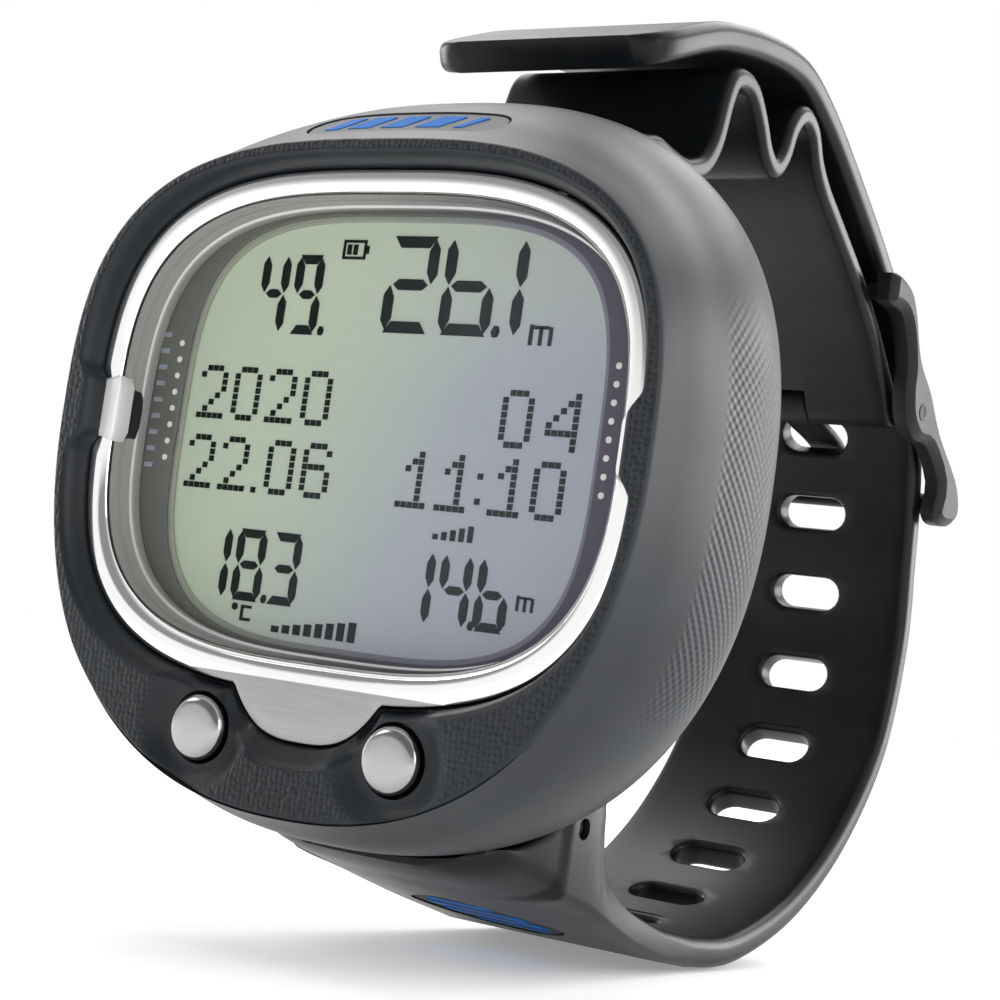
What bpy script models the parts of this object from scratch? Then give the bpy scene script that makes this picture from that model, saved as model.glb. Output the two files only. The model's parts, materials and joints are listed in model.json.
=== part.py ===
"""Wrist dive computer with a rubber strap, closed in its buckle.

The dial faces -Y, 12 o'clock is +Z and 3 o'clock is +X. Sizes below are millimetres, and
MM turns them into Blender's metres. Depths are measured along +Y from the bezel's front
plane, heights along Z from the display's centre. At the end the whole computer is stood
on its lowest point, centred over the world's origin.
"""

import math
from collections import namedtuple

import bmesh
import bpy
from mathutils import Matrix, Vector

MM = 0.001

# ---- Driving dimensions, in millimetres ----
SEAT_GAP = 0.3            # clearance between pieces that are assembled
FACE_POINTS = 48          # points round every outline of the case
ROUND_STEPS = 20          # segments round a turned piece

# Outlines of the face: half width, reach up, reach down, squareness
Outline = namedtuple("Outline", "half_width top bottom power")
LCD_WINDOW = Outline(21.7, 18.6, 18.6, 3.6)
BEZEL_INNER = Outline(25.65, 19.6, 19.6, 3.15)
BEZEL_OUTER = Outline(27.5, 21.55, 22.3, 3.05)
CASE_LIP = Outline(29.5, 23.4, 30.4, 2.7)
CASE_WIDEST = Outline(31.7, 30.4, 33.9, 2.45)
CASE_BACK_RIM = Outline(29.4, 28.2, 32.2, 2.5)
CAVITY = Outline(24.0, 21.5, 24.5, 2.6)
BACK_PLATE = Outline(26.8, 24.2, 26.7, 2.8)

# Depths of the case, front to back
LIP_RISE = 2.1            # the rubber lip stands this far in front of the bezel
CHAMFER_WIDTH = 1.45      # smooth slope between bezel and lip
WIDEST_DEPTH = 11.0
CASE_DEPTH = 19.2
BACK_SEAT_DEPTH = CASE_DEPTH - 2.6
BACK_PLATE_STEP = 1.0     # room for the gasket under the back plate
BULKHEAD_DEPTH = 6.9
BULKHEAD_WALL = 0.9
BACK_PLATE_WALL = 2.0

# Bezel, with its tab between the buttons and its notches at 3 and 9 o'clock
BEZEL_THICKNESS = 1.5
TAB_REACH = 3.9
TAB_HALF_WIDTH = 8.2
NOTCH_REACH = 1.15
NOTCH_HALF_HEIGHT = 3.6

# Window stack
LENS_FLANGE = Outline(26.6, 20.6, 20.6, 3.15)
LENS_STEP_DEPTH = 1.8
LENS_FRONT_DEPTH = 0.6
LENS_BACK_DEPTH = 3.9
MASK_THICKNESS = 0.3
LCD_GLASS = Outline(22.6, 19.4, 19.4, 5.0)
LCD_THICKNESS = 1.6
BACKLIGHT = Outline(19.8, 15.2, 15.2, 4.0)
BACKLIGHT_THICKNESS = 1.4
BULKHEAD_WINDOW = Outline(20.6, 18.0, 18.0, 4.0)
ZEBRA_LENGTH = 26.0
ZEBRA_WIDTH = 1.3

# Electronics
BOARD_DEPTH = 10.4
BOARD_THICKNESS = 1.0
SWITCH_SIZE = 3.0
SWITCH_RISE = 0.6         # the stem presses a little below the switch's middle
SWITCH_THICKNESS = 0.4
BATTERY_RADIUS = 10.0
BATTERY_THICKNESS = 3.2
BATTERY_HEIGHT = -4.0
CONTACT_WIDTH = 4.0
CONTACT_THICKNESS = 0.25
BUZZER_RADIUS = 5.5
BUZZER_THICKNESS = 1.4
TOP_CORNER_X = 13.0       # buzzer and sensor sit left and right of the battery's top
TOP_CORNER_Z = 12.6
SENSOR_RADIUS = 3.6
SENSOR_LENGTH = 5.4

# Buttons
BUTTON_X = 9.9
BUTTON_Z = -26.2
BUTTON_RADIUS = 2.75
BUTTON_FRONT_DEPTH = -1.6
BUTTON_CAP_THICKNESS = 2.2
BUTTON_TRAVEL = 0.8
BUTTON_BORE_DEPTH = 2.6
STEM_RADIUS = 1.0
STEM_END_DEPTH = 8.75
BUSH_OUTER_RADIUS = 2.3
BUSH_LENGTH = 2.0
SPRING_WIRE = 0.24
SPRING_TURNS = 2
SPRING_RADIUS = 1.75
O_RING_WIRE_RADIUS = 0.3
CLIP_OUTER_RADIUS = 1.7
CLIP_THICKNESS = 0.35
CLIP_POCKET_RADIUS = 3.1
CLIP_POCKET_RISE = 1.1

# Case back hardware
COVER_RADIUS = 11.8
COVER_THICKNESS = 3.0
COIN_SLOT_LENGTH = 13.0
COIN_SLOT_WIDTH = 2.0
COIN_SLOT_DEPTH = 1.2
SCREW_X = 20.4
SCREW_TOP_Z = 17.0
SCREW_BOTTOM_Z = -19.2
SCREW_HEAD_RADIUS = 1.25
SCREW_HEAD_THICKNESS = 1.1
SCREW_SHANK_RADIUS = 0.75
SCREW_LENGTH = 6.0
STUD_X = 5.0
STUD_Z = 19.0
STUD_RADIUS = 1.2
PORT_RADIUS = 4.3
PORT_HOLE_RADIUS = 0.6
PORT_HOLE_CIRCLE = 2.4
PORT_HOLES = 5

# Strap lugs and pins
PIN_RADIUS = 0.75
LUG_HALF_WIDTH = 8.2
UPPER_PIN = (CASE_DEPTH + 3.5, 27.3)  # depth, height
LOWER_PIN = (CASE_DEPTH + 3.5, -30.4)
LUG_RADIUS = 2.3

# Strap
STRAP_HALF_WIDTH = 12.5
STRAP_THICKNESS = 3.0
TAIL_THICKNESS = 2.0
BELLOWS_THICKNESS = 2.2
STRAP_CORNER = 0.7
PIN_HOLE_REACH = STRAP_HALF_WIDTH + 1.5
SLOT_LENGTH = 8.2
SLOT_HEIGHT = 3.7
SLOT_PITCH = 9.0
SLOT_COUNT = 9

# Buckle
BUCKLE_PIN = (CASE_DEPTH + 63.0, 16.6)
BUCKLE_CHEEK = 2.4
CHEEK_GAP = 0.7
HUB_RADIUS = 2.0
PRONG_WIDTH = 4.6
PRONG_THICKNESS = 1.2
LOWER_BAR = (CASE_DEPTH + 76.1, 8.0)
LOWER_BAR_RADIUS = 1.2
UPPER_BAR = (CASE_DEPTH + 54.2, 28.0)
UPPER_BAR_RADIUS = 0.9

# Inlay plates
TOP_INLAY_HALF_WIDTH = 10.5
TOP_INLAY_LENGTH = 5.6
BOTTOM_INLAY_HALF_WIDTH = 8.0
BOTTOM_INLAY_LENGTH = 13.0
INLAY_THICKNESS = 0.5
INLAY_CORNER = 1.2

# Colour, roughness, metallic
FINISHES = {
    "case_rubber": ((0.045, 0.048, 0.052), 0.55, 0.0),
    "strap_rubber": ((0.022, 0.024, 0.027), 0.5, 0.0),
    "polished_steel": ((0.78, 0.78, 0.77), 0.15, 1.0),
    "black_plastic": ((0.02, 0.02, 0.022), 0.45, 0.0),
    "clear_lens": ((0.8, 0.84, 0.82), 0.05, 0.0),
    "grey_print": ((0.2, 0.2, 0.19), 0.6, 0.0),
    "lcd_glass": ((0.6, 0.68, 0.58), 0.3, 0.0),
    "white_plastic": ((0.8, 0.8, 0.78), 0.5, 0.0),
    "green_board": ((0.02, 0.2, 0.08), 0.5, 0.0),
    "spring_steel": ((0.6, 0.6, 0.6), 0.3, 1.0),
    "seal_rubber": ((0.01, 0.01, 0.01), 0.7, 0.0),
    "brass": ((0.7, 0.5, 0.2), 0.3, 1.0),
    "blue_print": ((0.02, 0.25, 0.6), 0.4, 0.0),
}


# ---- General helpers ----
def clear_scene():
    for item in list(bpy.data.objects):
        bpy.data.objects.remove(item, do_unlink=True)


def new_collection(name):
    collection = bpy.data.collections.new(name)
    bpy.context.scene.collection.children.link(collection)
    return collection


def finish(name):
    """The named finish as a material, made once."""
    if name in bpy.data.materials:
        return bpy.data.materials[name]
    colour, roughness, metallic = FINISHES[name]
    material = bpy.data.materials.new(name)
    material.use_nodes = True
    shader = material.node_tree.nodes["Principled BSDF"]
    shader.inputs["Base Color"].default_value = (*colour, 1.0)
    shader.inputs["Roughness"].default_value = roughness
    shader.inputs["Metallic"].default_value = metallic
    return material


def new_object(name, mesh, collection, finish_name=None, parent=None):
    item = bpy.data.objects.new(name, mesh)
    collection.objects.link(item)
    item.parent = parent
    if finish_name:
        mesh.materials.append(finish(finish_name))
    return item


def smooth(mesh, degrees=35):
    mesh.shade_smooth()
    mesh.set_sharp_from_angle(angle=math.radians(degrees))


def mesh_from(build, name):
    """A mesh built by one bmesh function, with its faces turned outwards."""
    shape = bmesh.new()
    build(shape)
    bmesh.ops.recalc_face_normals(shape, faces=shape.faces[:])
    mesh = bpy.data.meshes.new(name)
    shape.to_mesh(mesh)
    shape.free()
    return mesh


def millimetres(point):
    return Vector(point) * MM


def loft(name, sections, closed=False):
    """Skin through sections of equal point count: capped at both ends, or joined end to start."""
    def build(shape):
        rows = [[shape.verts.new(millimetres(p)) for p in section] for section in sections]
        count = len(rows[0])
        pairs = list(zip(rows, rows[1:]))
        if closed:
            pairs.append((rows[-1], rows[0]))
        for first, second in pairs:
            for i in range(count):
                j = (i + 1) % count
                shape.faces.new((first[i], first[j], second[j], second[i]))
        if not closed:
            shape.faces.new(rows[0])
            shape.faces.new(rows[-1])
    mesh = mesh_from(build, name)
    smooth(mesh)
    return mesh


def box_mesh(name, size, centre=(0, 0, 0), turn=0.0):
    """A block, turned about its own X axis by an angle in radians."""
    def build(shape):
        bmesh.ops.create_cube(shape, size=1.0)
        bmesh.ops.scale(shape, vec=millimetres(size), verts=shape.verts)
        bmesh.ops.rotate(shape, matrix=Matrix.Rotation(turn, 3, "X"), verts=shape.verts)
        bmesh.ops.translate(shape, vec=millimetres(centre), verts=shape.verts)
    return mesh_from(build, name)


def rod_mesh(name, radius, length, centre, axis, steps=ROUND_STEPS):
    """A plain cylinder along a world axis."""
    turn = {"X": Matrix.Rotation(math.pi / 2, 3, "Y"), "Y": Matrix.Rotation(math.pi / 2, 3, "X")}
    def build(shape):
        bmesh.ops.create_cone(shape, cap_ends=True, segments=steps, radius1=radius * MM,
                              radius2=radius * MM, depth=length * MM)
        bmesh.ops.rotate(shape, matrix=turn[axis], verts=shape.verts)
        bmesh.ops.translate(shape, vec=millimetres(centre), verts=shape.verts)
    mesh = mesh_from(build, name)
    smooth(mesh)
    return mesh


def turned(name, profile, centre, collection, finish_name=None, parent=None, on_axis=True,
           steps=ROUND_STEPS):
    """A turned piece on an axis along Y. The profile is (radius, depth from the centre),
    from the back, down the outer side, to the front; a ring's profile then comes back."""
    mesh = bpy.data.meshes.new(name)
    verts = [(radius * MM, 0.0, depth * MM) for radius, depth in profile]
    edges = [(i, i + 1) for i in range(len(verts) - 1)]
    if not on_axis:
        edges.append((len(verts) - 1, 0))
    mesh.from_pydata(verts, edges, [])
    item = new_object(name, mesh, collection, finish_name, parent)
    item.location = millimetres(centre)
    item.rotation_euler = (-math.pi / 2, 0.0, 0.0)
    screw = item.modifiers.new("turn", "SCREW")
    screw.steps = steps
    screw.render_steps = steps
    screw.use_merge_vertices = True
    screw.merge_threshold = 0.00001
    screw.use_smooth_shade = True
    return item


def ring_profile(inner, outer, front, back):
    return [(inner, back), (outer, back), (outer, front), (inner, front)]


def disc_profile(radius, front, back, edge=0.0):
    """A disc's half section, its front rim broken by edge."""
    points = [(0.0, back), (radius, back), (radius, front + edge)]
    if edge:
        points.append((radius - edge, front))
    return points + [(0.0, front)]


def boolean(item, cutter, operation="DIFFERENCE"):
    modifier = item.modifiers.new(cutter.name, "BOOLEAN")
    modifier.operation = operation
    modifier.object = cutter
    modifier.solver = "EXACT"


def guide(name, mesh, cutters, parent):
    """An object that only cuts or joins another."""
    item = new_object(name, mesh, cutters, parent=parent)
    hide_guide(item)
    return item


def hide_guide(item):
    item.hide_render = True
    item.display_type = "WIRE"


# ---- Outlines ----
def grown(outline, by):
    return Outline(outline.half_width + by, outline.top + by, outline.bottom + by, outline.power)


def blended(first, second, share):
    return Outline(*(a + (b - a) * share for a, b in zip(first, second)))


def hump(position, half_width):
    """1 at the middle, falling smoothly to 0 at the half width."""
    if abs(position) >= half_width:
        return 0.0
    return 0.5 + 0.5 * math.cos(math.pi * position / half_width)


def face_ring(outline, depth, tab=False, notch=0.0, count=FACE_POINTS):
    """Points of an outline at one depth, with the bezel's tab and side notches on request."""
    points = []
    for i in range(count):
        angle = 2 * math.pi * (i + 0.5) / count
        reach = outline.top if math.sin(angle) > 0 else outline.bottom
        across = abs(math.cos(angle)) / outline.half_width
        along = abs(math.sin(angle)) / reach
        radius = (across ** outline.power + along ** outline.power) ** (-1 / outline.power)
        x = radius * math.cos(angle)
        z = radius * math.sin(angle)
        if tab and z < 0:
            z -= TAB_REACH * hump(x, TAB_HALF_WIDTH)
        x -= math.copysign(notch * hump(z, NOTCH_HALF_HEIGHT), x)
        points.append((x, depth, z))
    return points


def face_plate(name, outline, front, thickness):
    return loft(name, [face_ring(outline, front), face_ring(outline, front + thickness)])


def face_frame(name, inner, outer, front, thickness):
    """A flat frame between two outlines."""
    rings = [face_ring(inner, front), face_ring(outer, front)]
    rings += [face_ring(outer, front + thickness), face_ring(inner, front + thickness)]
    return loft(name, rings, closed=True)


# ---- Paths of the strap: (depth, height) points ----
def catmull_rom(points, per_span):
    """A smooth path through every point."""
    padded = [points[0]] + list(points) + [points[-1]]
    path = []
    for a, b, c, d in zip(padded, padded[1:], padded[2:], padded[3:]):
        for step in range(per_span):
            t = step / per_span
            path.append(tuple(
                0.5 * (2 * q + (r - p) * t + (2 * p - 5 * q + 4 * r - s) * t * t
                       + (3 * q - p - 3 * r + s) * t ** 3)
                for p, q, r, s in zip(a, b, c, d)))
    path.append(tuple(points[-1]))
    return path


def direction_at(path, index):
    before = Vector(path[max(index - 1, 0)])
    after = Vector(path[min(index + 1, len(path) - 1)])
    return (after - before).normalized()


def band_section(outer, inner, half_width):
    """A strap's cross-section between its outer and inner point, with broken corners."""
    outer = Vector(outer)
    inner = Vector(inner)
    thickness = (outer - inner).length
    corner = min(STRAP_CORNER, thickness * 0.35)
    normal = (outer - inner).normalized()
    flat = half_width - corner
    steps = [(flat, outer), (half_width, outer - normal * corner),
             (half_width, inner + normal * corner), (flat, inner),
             (-flat, inner), (-half_width, inner + normal * corner),
             (-half_width, outer - normal * corner), (-flat, outer)]
    return [(x, point.x, point.y) for x, point in steps]


def path_sections(path, thickness_at, half_width_at):
    """Cross-sections square to a centre path, thickness and width given by the share run."""
    sections = []
    for i, point in enumerate(path):
        share = i / (len(path) - 1)
        along = direction_at(path, i)
        normal = Vector((-along.y, along.x)) * thickness_at(share) / 2
        centre = Vector(point)
        sections.append(band_section(centre + normal, centre - normal, half_width_at(share)))
    return sections


# ---- Case ----
def case_rings():
    """Rings of the case's skin, from the bezel seat round the outside and into the cavity."""
    seat = grown(BEZEL_OUTER, SEAT_GAP)
    seat_depth = BEZEL_THICKNESS + SEAT_GAP
    lip_inner = grown(seat, CHAMFER_WIDTH)
    rings = [face_ring(seat, seat_depth, tab=True, notch=NOTCH_REACH),
             face_ring(seat, -SEAT_GAP, tab=True, notch=NOTCH_REACH),
             face_ring(lip_inner, -LIP_RISE, tab=True, notch=NOTCH_REACH),
             face_ring(CASE_LIP, -LIP_RISE + 0.15)]
    for share, depth in ((0.3, -0.4), (0.55, 3.0), (0.85, 7.0), (1.0, WIDEST_DEPTH)):
        rings.append(face_ring(blended(CASE_LIP, CASE_WIDEST, share), depth))
    for share, along in ((0.2, 0.488), (0.55, 0.805), (1.0, 1.0)):
        depth = WIDEST_DEPTH + along * (CASE_DEPTH - WIDEST_DEPTH)
        rings.append(face_ring(blended(CASE_WIDEST, CASE_BACK_RIM, share), depth))
    plate_seat = grown(BACK_PLATE, SEAT_GAP)
    rings += [face_ring(plate_seat, CASE_DEPTH), face_ring(plate_seat, BACK_SEAT_DEPTH),
              face_ring(CAVITY, BACK_SEAT_DEPTH),
              face_ring(CAVITY, BULKHEAD_DEPTH + BULKHEAD_WALL),
              face_ring(BULKHEAD_WINDOW, BULKHEAD_DEPTH + BULKHEAD_WALL),
              face_ring(BULKHEAD_WINDOW, BULKHEAD_DEPTH),
              face_ring(seat, BULKHEAD_DEPTH), face_ring(seat, seat_depth)]
    return rings


def lug_tongue(name, pin, root_depth, cutters, parent):
    """A rounded tongue that carries a strap pin behind the case's rim."""
    depth, height = pin
    sections = []
    for x in (-LUG_HALF_WIDTH, LUG_HALF_WIDTH):
        section = [(x, root_depth, height + LUG_RADIUS), (x, root_depth, height - LUG_RADIUS)]
        for i in range(9):
            angle = -math.pi / 2 + math.pi * i / 8
            section.append((x, depth + LUG_RADIUS * math.cos(angle),
                            height + LUG_RADIUS * math.sin(angle)))
        sections.append(section)
    return guide(name, loft(name, sections), cutters, parent)


def button_bore(name, x, cutters, parent):
    """The stepped hole of one button, with the pocket behind it for its clip."""
    cap = BUTTON_RADIUS + SEAT_GAP
    bush = BUSH_OUTER_RADIUS + SEAT_GAP
    stem = STEM_RADIUS + SEAT_GAP
    wall = BULKHEAD_DEPTH + BULKHEAD_WALL
    seal_end = BUTTON_BORE_DEPTH + BUSH_LENGTH + 4 * O_RING_WIRE_RADIUS + 2 * SEAT_GAP
    profile = [(0.0, wall + 1.0), (stem, wall + 1.0), (stem, seal_end), (bush, seal_end),
               (bush, BUTTON_BORE_DEPTH), (cap, BUTTON_BORE_DEPTH), (cap, -6.0), (0.0, -6.0)]
    bore = turned(name, profile, (x, 0, BUTTON_Z), cutters, parent=parent)
    hide_guide(bore)
    pocket_length = BOARD_DEPTH + BOARD_THICKNESS + 2 * SEAT_GAP - wall
    pocket = guide(name + "_pocket",
                   rod_mesh(name + "_pocket", CLIP_POCKET_RADIUS, pocket_length,
                            (x, wall + pocket_length / 2, BUTTON_Z + CLIP_POCKET_RISE), "Y"),
                   cutters, parent)
    return bore, pocket


def top_slope():
    """Middle and tilt of the case's sloping top face, where the upper inlay lies."""
    front = face_ring(blended(CASE_LIP, CASE_WIDEST, 0.3), -0.4)[FACE_POINTS // 4]
    back = face_ring(blended(CASE_LIP, CASE_WIDEST, 0.85), 7.0)[FACE_POINTS // 4]
    tilt = math.atan2(back[2] - front[2], back[1] - front[1])
    return (0.0, (front[1] + back[1]) / 2, (front[2] + back[2]) / 2), tilt


def screw_places():
    return [(x, z) for z in (SCREW_TOP_Z, SCREW_BOTTOM_Z) for x in (-SCREW_X, SCREW_X)]


def pin_rod(name, pin, radius, half_length, steps=ROUND_STEPS):
    return rod_mesh(name, radius, 2 * half_length, (0, pin[0], pin[1]), "X", steps)


def build_case(parts, cutters, parent):
    case = new_object("case_body", loft("case_body", case_rings(), closed=True), parts,
                      "case_rubber", parent)
    for name, pin in (("upper_lug", UPPER_PIN), ("lower_lug", LOWER_PIN)):
        boolean(case, lug_tongue(name, pin, CASE_DEPTH - 1.4, cutters, parent), "UNION")
    for side, x in (("left", -BUTTON_X), ("right", BUTTON_X)):
        for cutter in button_bore("button_bore_" + side, x, cutters, parent):
            boolean(case, cutter)
    for index, (x, z) in enumerate(screw_places(), 1):
        length = SCREW_LENGTH + 1.0
        hole = rod_mesh("screw_hole", SCREW_SHANK_RADIUS + SEAT_GAP, length,
                        (x, BACK_SEAT_DEPTH - length / 2 + 1.0, z), "Y", 12)
        boolean(case, guide(f"screw_hole_{index}", hole, cutters, parent))
    for name, pin in (("upper_pin_hole", UPPER_PIN), ("lower_pin_hole", LOWER_PIN)):
        hole = pin_rod(name, pin, PIN_RADIUS + SEAT_GAP, LUG_HALF_WIDTH + 1, 16)
        boolean(case, guide(name, hole, cutters, parent))
    centre, tilt = top_slope()
    recess = box_mesh("top_inlay_recess",
                      (2 * (TOP_INLAY_HALF_WIDTH + SEAT_GAP), TOP_INLAY_LENGTH + 2 * SEAT_GAP,
                       2 * (INLAY_THICKNESS + SEAT_GAP)), centre, tilt)
    boolean(case, guide("top_inlay_recess", recess, cutters, parent))


# ---- Window and display ----
def build_window(parts, parent):
    bezel_rings = [
        face_ring(grown(BEZEL_INNER, 0.5), BEZEL_THICKNESS),
        face_ring(BEZEL_INNER, 0.9),
        face_ring(grown(BEZEL_INNER, 0.9), 0.0),
        face_ring(grown(BEZEL_OUTER, -0.25), 0.05, tab=True, notch=NOTCH_REACH),
        face_ring(BEZEL_OUTER, 0.3, tab=True, notch=NOTCH_REACH),
        face_ring(BEZEL_OUTER, BEZEL_THICKNESS, tab=True, notch=NOTCH_REACH)]
    new_object("bezel_ring", loft("bezel_ring", bezel_rings, closed=True), parts,
               "polished_steel", parent)
    lens_top = grown(BEZEL_INNER, -SEAT_GAP)
    lens_rings = [face_ring(grown(lens_top, -0.4), LENS_FRONT_DEPTH),
                  face_ring(lens_top, LENS_FRONT_DEPTH + 0.3),
                  face_ring(lens_top, LENS_STEP_DEPTH),
                  face_ring(LENS_FLANGE, LENS_STEP_DEPTH),
                  face_ring(LENS_FLANGE, LENS_BACK_DEPTH)]
    new_object("lens", loft("lens", lens_rings), parts, "clear_lens", parent)
    gasket_inner = grown(LENS_FLANGE, 0.15)
    gasket_outer = grown(LENS_FLANGE, 0.62)
    new_object("lens_gasket",
               face_frame("lens_gasket", gasket_inner, gasket_outer, LENS_STEP_DEPTH + 0.2,
                          LENS_BACK_DEPTH - LENS_STEP_DEPTH - 0.2), parts, "seal_rubber", parent)
    mask_depth = LENS_BACK_DEPTH + SEAT_GAP
    new_object("display_mask",
               face_frame("display_mask", LCD_WINDOW, grown(LENS_FLANGE, -0.3), mask_depth,
                          MASK_THICKNESS), parts, "grey_print", parent)
    lcd_depth = mask_depth + MASK_THICKNESS + SEAT_GAP
    new_object("lcd_panel", face_plate("lcd_panel", LCD_GLASS, lcd_depth, LCD_THICKNESS), parts,
               "lcd_glass", parent)
    new_object("lcd_holder",
               face_frame("lcd_holder", grown(LCD_GLASS, SEAT_GAP), grown(LENS_FLANGE, 0.4),
                          lcd_depth, LCD_THICKNESS), parts, "black_plastic", parent)
    light_depth = lcd_depth + LCD_THICKNESS + SEAT_GAP
    new_object("backlight_plate",
               face_plate("backlight_plate", BACKLIGHT, light_depth, BACKLIGHT_THICKNESS), parts,
               "white_plastic", parent)
    zebra_height = BOARD_DEPTH - light_depth - SEAT_GAP
    zebra_z = BACKLIGHT.top + SEAT_GAP + ZEBRA_WIDTH / 2
    for name, z in (("zebra_strip_top", zebra_z), ("zebra_strip_bottom", -zebra_z)):
        mesh = box_mesh(name, (ZEBRA_LENGTH, zebra_height, ZEBRA_WIDTH),
                        (0, light_depth + zebra_height / 2, z))
        new_object(name, mesh, parts, "seal_rubber", parent)


def build_bezel_clip(parts, parent):
    """The clear moulded clip between bezel and lens at 9 o'clock, seated on the lens step."""
    x = -(BEZEL_INNER.half_width - 2.2)
    mesh = box_mesh("bezel_clip", (1.2, 0.5, 5.2), (x, LENS_FRONT_DEPTH - 0.55, 0.0))
    new_object("bezel_clip", mesh, parts, "clear_lens", parent)


# ---- Electronics ----
def build_electronics(parts, cutters, parent):
    board_outline = grown(CAVITY, -0.6)
    board = new_object("circuit_board",
                       face_plate("circuit_board", board_outline, BOARD_DEPTH, BOARD_THICKNESS),
                       parts, "green_board", parent)
    tab_top = -board_outline.bottom + 4.0
    tab_bottom = BUTTON_Z + SWITCH_RISE - SWITCH_SIZE / 2 - 0.2
    for side, x in (("left", -BUTTON_X), ("right", BUTTON_X)):
        tab = box_mesh("switch_tab", (SWITCH_SIZE + 0.2, BOARD_THICKNESS, tab_top - tab_bottom),
                       (x, BOARD_DEPTH + BOARD_THICKNESS / 2, (tab_top + tab_bottom) / 2))
        boolean(board, guide("switch_tab_" + side, tab, cutters, parent), "UNION")
        name = "switch_" + side
        mesh = box_mesh(name, (SWITCH_SIZE, SWITCH_THICKNESS, SWITCH_SIZE),
                        (x, BOARD_DEPTH - SEAT_GAP - SWITCH_THICKNESS / 2,
                         BUTTON_Z + SWITCH_RISE))
        new_object(name, mesh, parts, "spring_steel", parent)
    rear = BOARD_DEPTH + BOARD_THICKNESS
    contact = box_mesh("battery_contact_spring",
                       (2 * BATTERY_RADIUS - 4, CONTACT_THICKNESS, CONTACT_WIDTH),
                       (0, rear + SEAT_GAP + CONTACT_THICKNESS / 2, BATTERY_HEIGHT))
    new_object("battery_contact_spring", contact, parts, "spring_steel", parent)
    battery_front = rear + CONTACT_THICKNESS + 2 * SEAT_GAP
    turned("battery", disc_profile(BATTERY_RADIUS, 0.0, BATTERY_THICKNESS, 0.4),
           (0, battery_front, BATTERY_HEIGHT), parts, "spring_steel", parent)
    side_contact = box_mesh("battery_contact_side", (CONTACT_THICKNESS, BATTERY_THICKNESS, 6.0),
                            (-BATTERY_RADIUS - 2 * SEAT_GAP - CONTACT_THICKNESS,
                             battery_front + BATTERY_THICKNESS / 2, BATTERY_HEIGHT))
    new_object("battery_contact_side", side_contact, parts, "spring_steel", parent)
    turned("buzzer", disc_profile(BUZZER_RADIUS, 0.0, BUZZER_THICKNESS),
           (-TOP_CORNER_X, rear + SEAT_GAP, TOP_CORNER_Z), parts, "brass", parent)
    turned("pressure_sensor", disc_profile(SENSOR_RADIUS, 0.0, SENSOR_LENGTH, 0.5),
           (TOP_CORNER_X, rear + SEAT_GAP, TOP_CORNER_Z), parts, "spring_steel", parent)


# ---- Buttons ----
def spring_curve(name, x, collection, parent):
    """A coil on the button's axis, drawn at the length it has when the button is pressed."""
    per_turn = 8
    count = per_turn * SPRING_TURNS + 1
    start = BUTTON_FRONT_DEPTH + BUTTON_CAP_THICKNESS + BUTTON_TRAVEL + SEAT_GAP
    length = BUTTON_BORE_DEPTH - start - SPRING_WIRE
    curve = bpy.data.curves.new(name, "CURVE")
    curve.dimensions = "3D"
    curve.bevel_depth = SPRING_WIRE / 2 * MM
    curve.bevel_resolution = 2
    curve.use_fill_caps = True
    spline = curve.splines.new("POLY")
    spline.points.add(count - 1)
    for i in range(count):
        angle = 2 * math.pi * i / per_turn
        depth = start + SPRING_WIRE / 2 + length * i / (count - 1)
        point = millimetres((SPRING_RADIUS * math.cos(angle), depth,
                             SPRING_RADIUS * math.sin(angle)))
        spline.points[i].co = (*point, 1.0)
    spring = new_object(name, curve, collection, "spring_steel", parent)
    spring.location = millimetres((x, 0, BUTTON_Z))


def build_button(side, x, parts, parent):
    """Cap and stem, spring, bush, seal and retaining clip of one button."""
    cap_back = BUTTON_CAP_THICKNESS
    stem_end = STEM_END_DEPTH - BUTTON_FRONT_DEPTH
    profile = [(0.0, stem_end), (STEM_RADIUS, stem_end), (STEM_RADIUS, cap_back),
               (BUTTON_RADIUS, cap_back), (BUTTON_RADIUS, 0.5), (BUTTON_RADIUS - 0.2, 0.15),
               (BUTTON_RADIUS - 0.6, 0.0), (0.0, -0.12)]
    turned("button_" + side, profile, (x, BUTTON_FRONT_DEPTH, BUTTON_Z), parts,
           "polished_steel", parent)
    spring_curve("button_spring_" + side, x, parts, parent)
    inner = STEM_RADIUS + SEAT_GAP
    turned("button_bush_" + side,
           ring_profile(inner, BUSH_OUTER_RADIUS, 0.0, BUSH_LENGTH - SEAT_GAP),
           (x, BUTTON_BORE_DEPTH + SEAT_GAP, BUTTON_Z), parts, "brass", parent, on_axis=False)
    o_ring = [(inner + O_RING_WIRE_RADIUS * (1 + math.cos(2 * math.pi * i / 8)),
               -O_RING_WIRE_RADIUS * math.sin(2 * math.pi * i / 8 + math.pi))
              for i in range(8)]
    seal_depth = BUTTON_BORE_DEPTH + BUSH_LENGTH + 2 * O_RING_WIRE_RADIUS + SEAT_GAP
    turned("button_o_ring_" + side, o_ring[::-1], (x, seal_depth, BUTTON_Z), parts,
           "seal_rubber", parent, on_axis=False, steps=16)
    clip_depth = BULKHEAD_DEPTH + BULKHEAD_WALL + SEAT_GAP
    turned("button_clip_" + side, ring_profile(inner, CLIP_OUTER_RADIUS, 0.0, CLIP_THICKNESS),
           (x, clip_depth, BUTTON_Z), parts, "spring_steel", parent, on_axis=False, steps=16)


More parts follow.
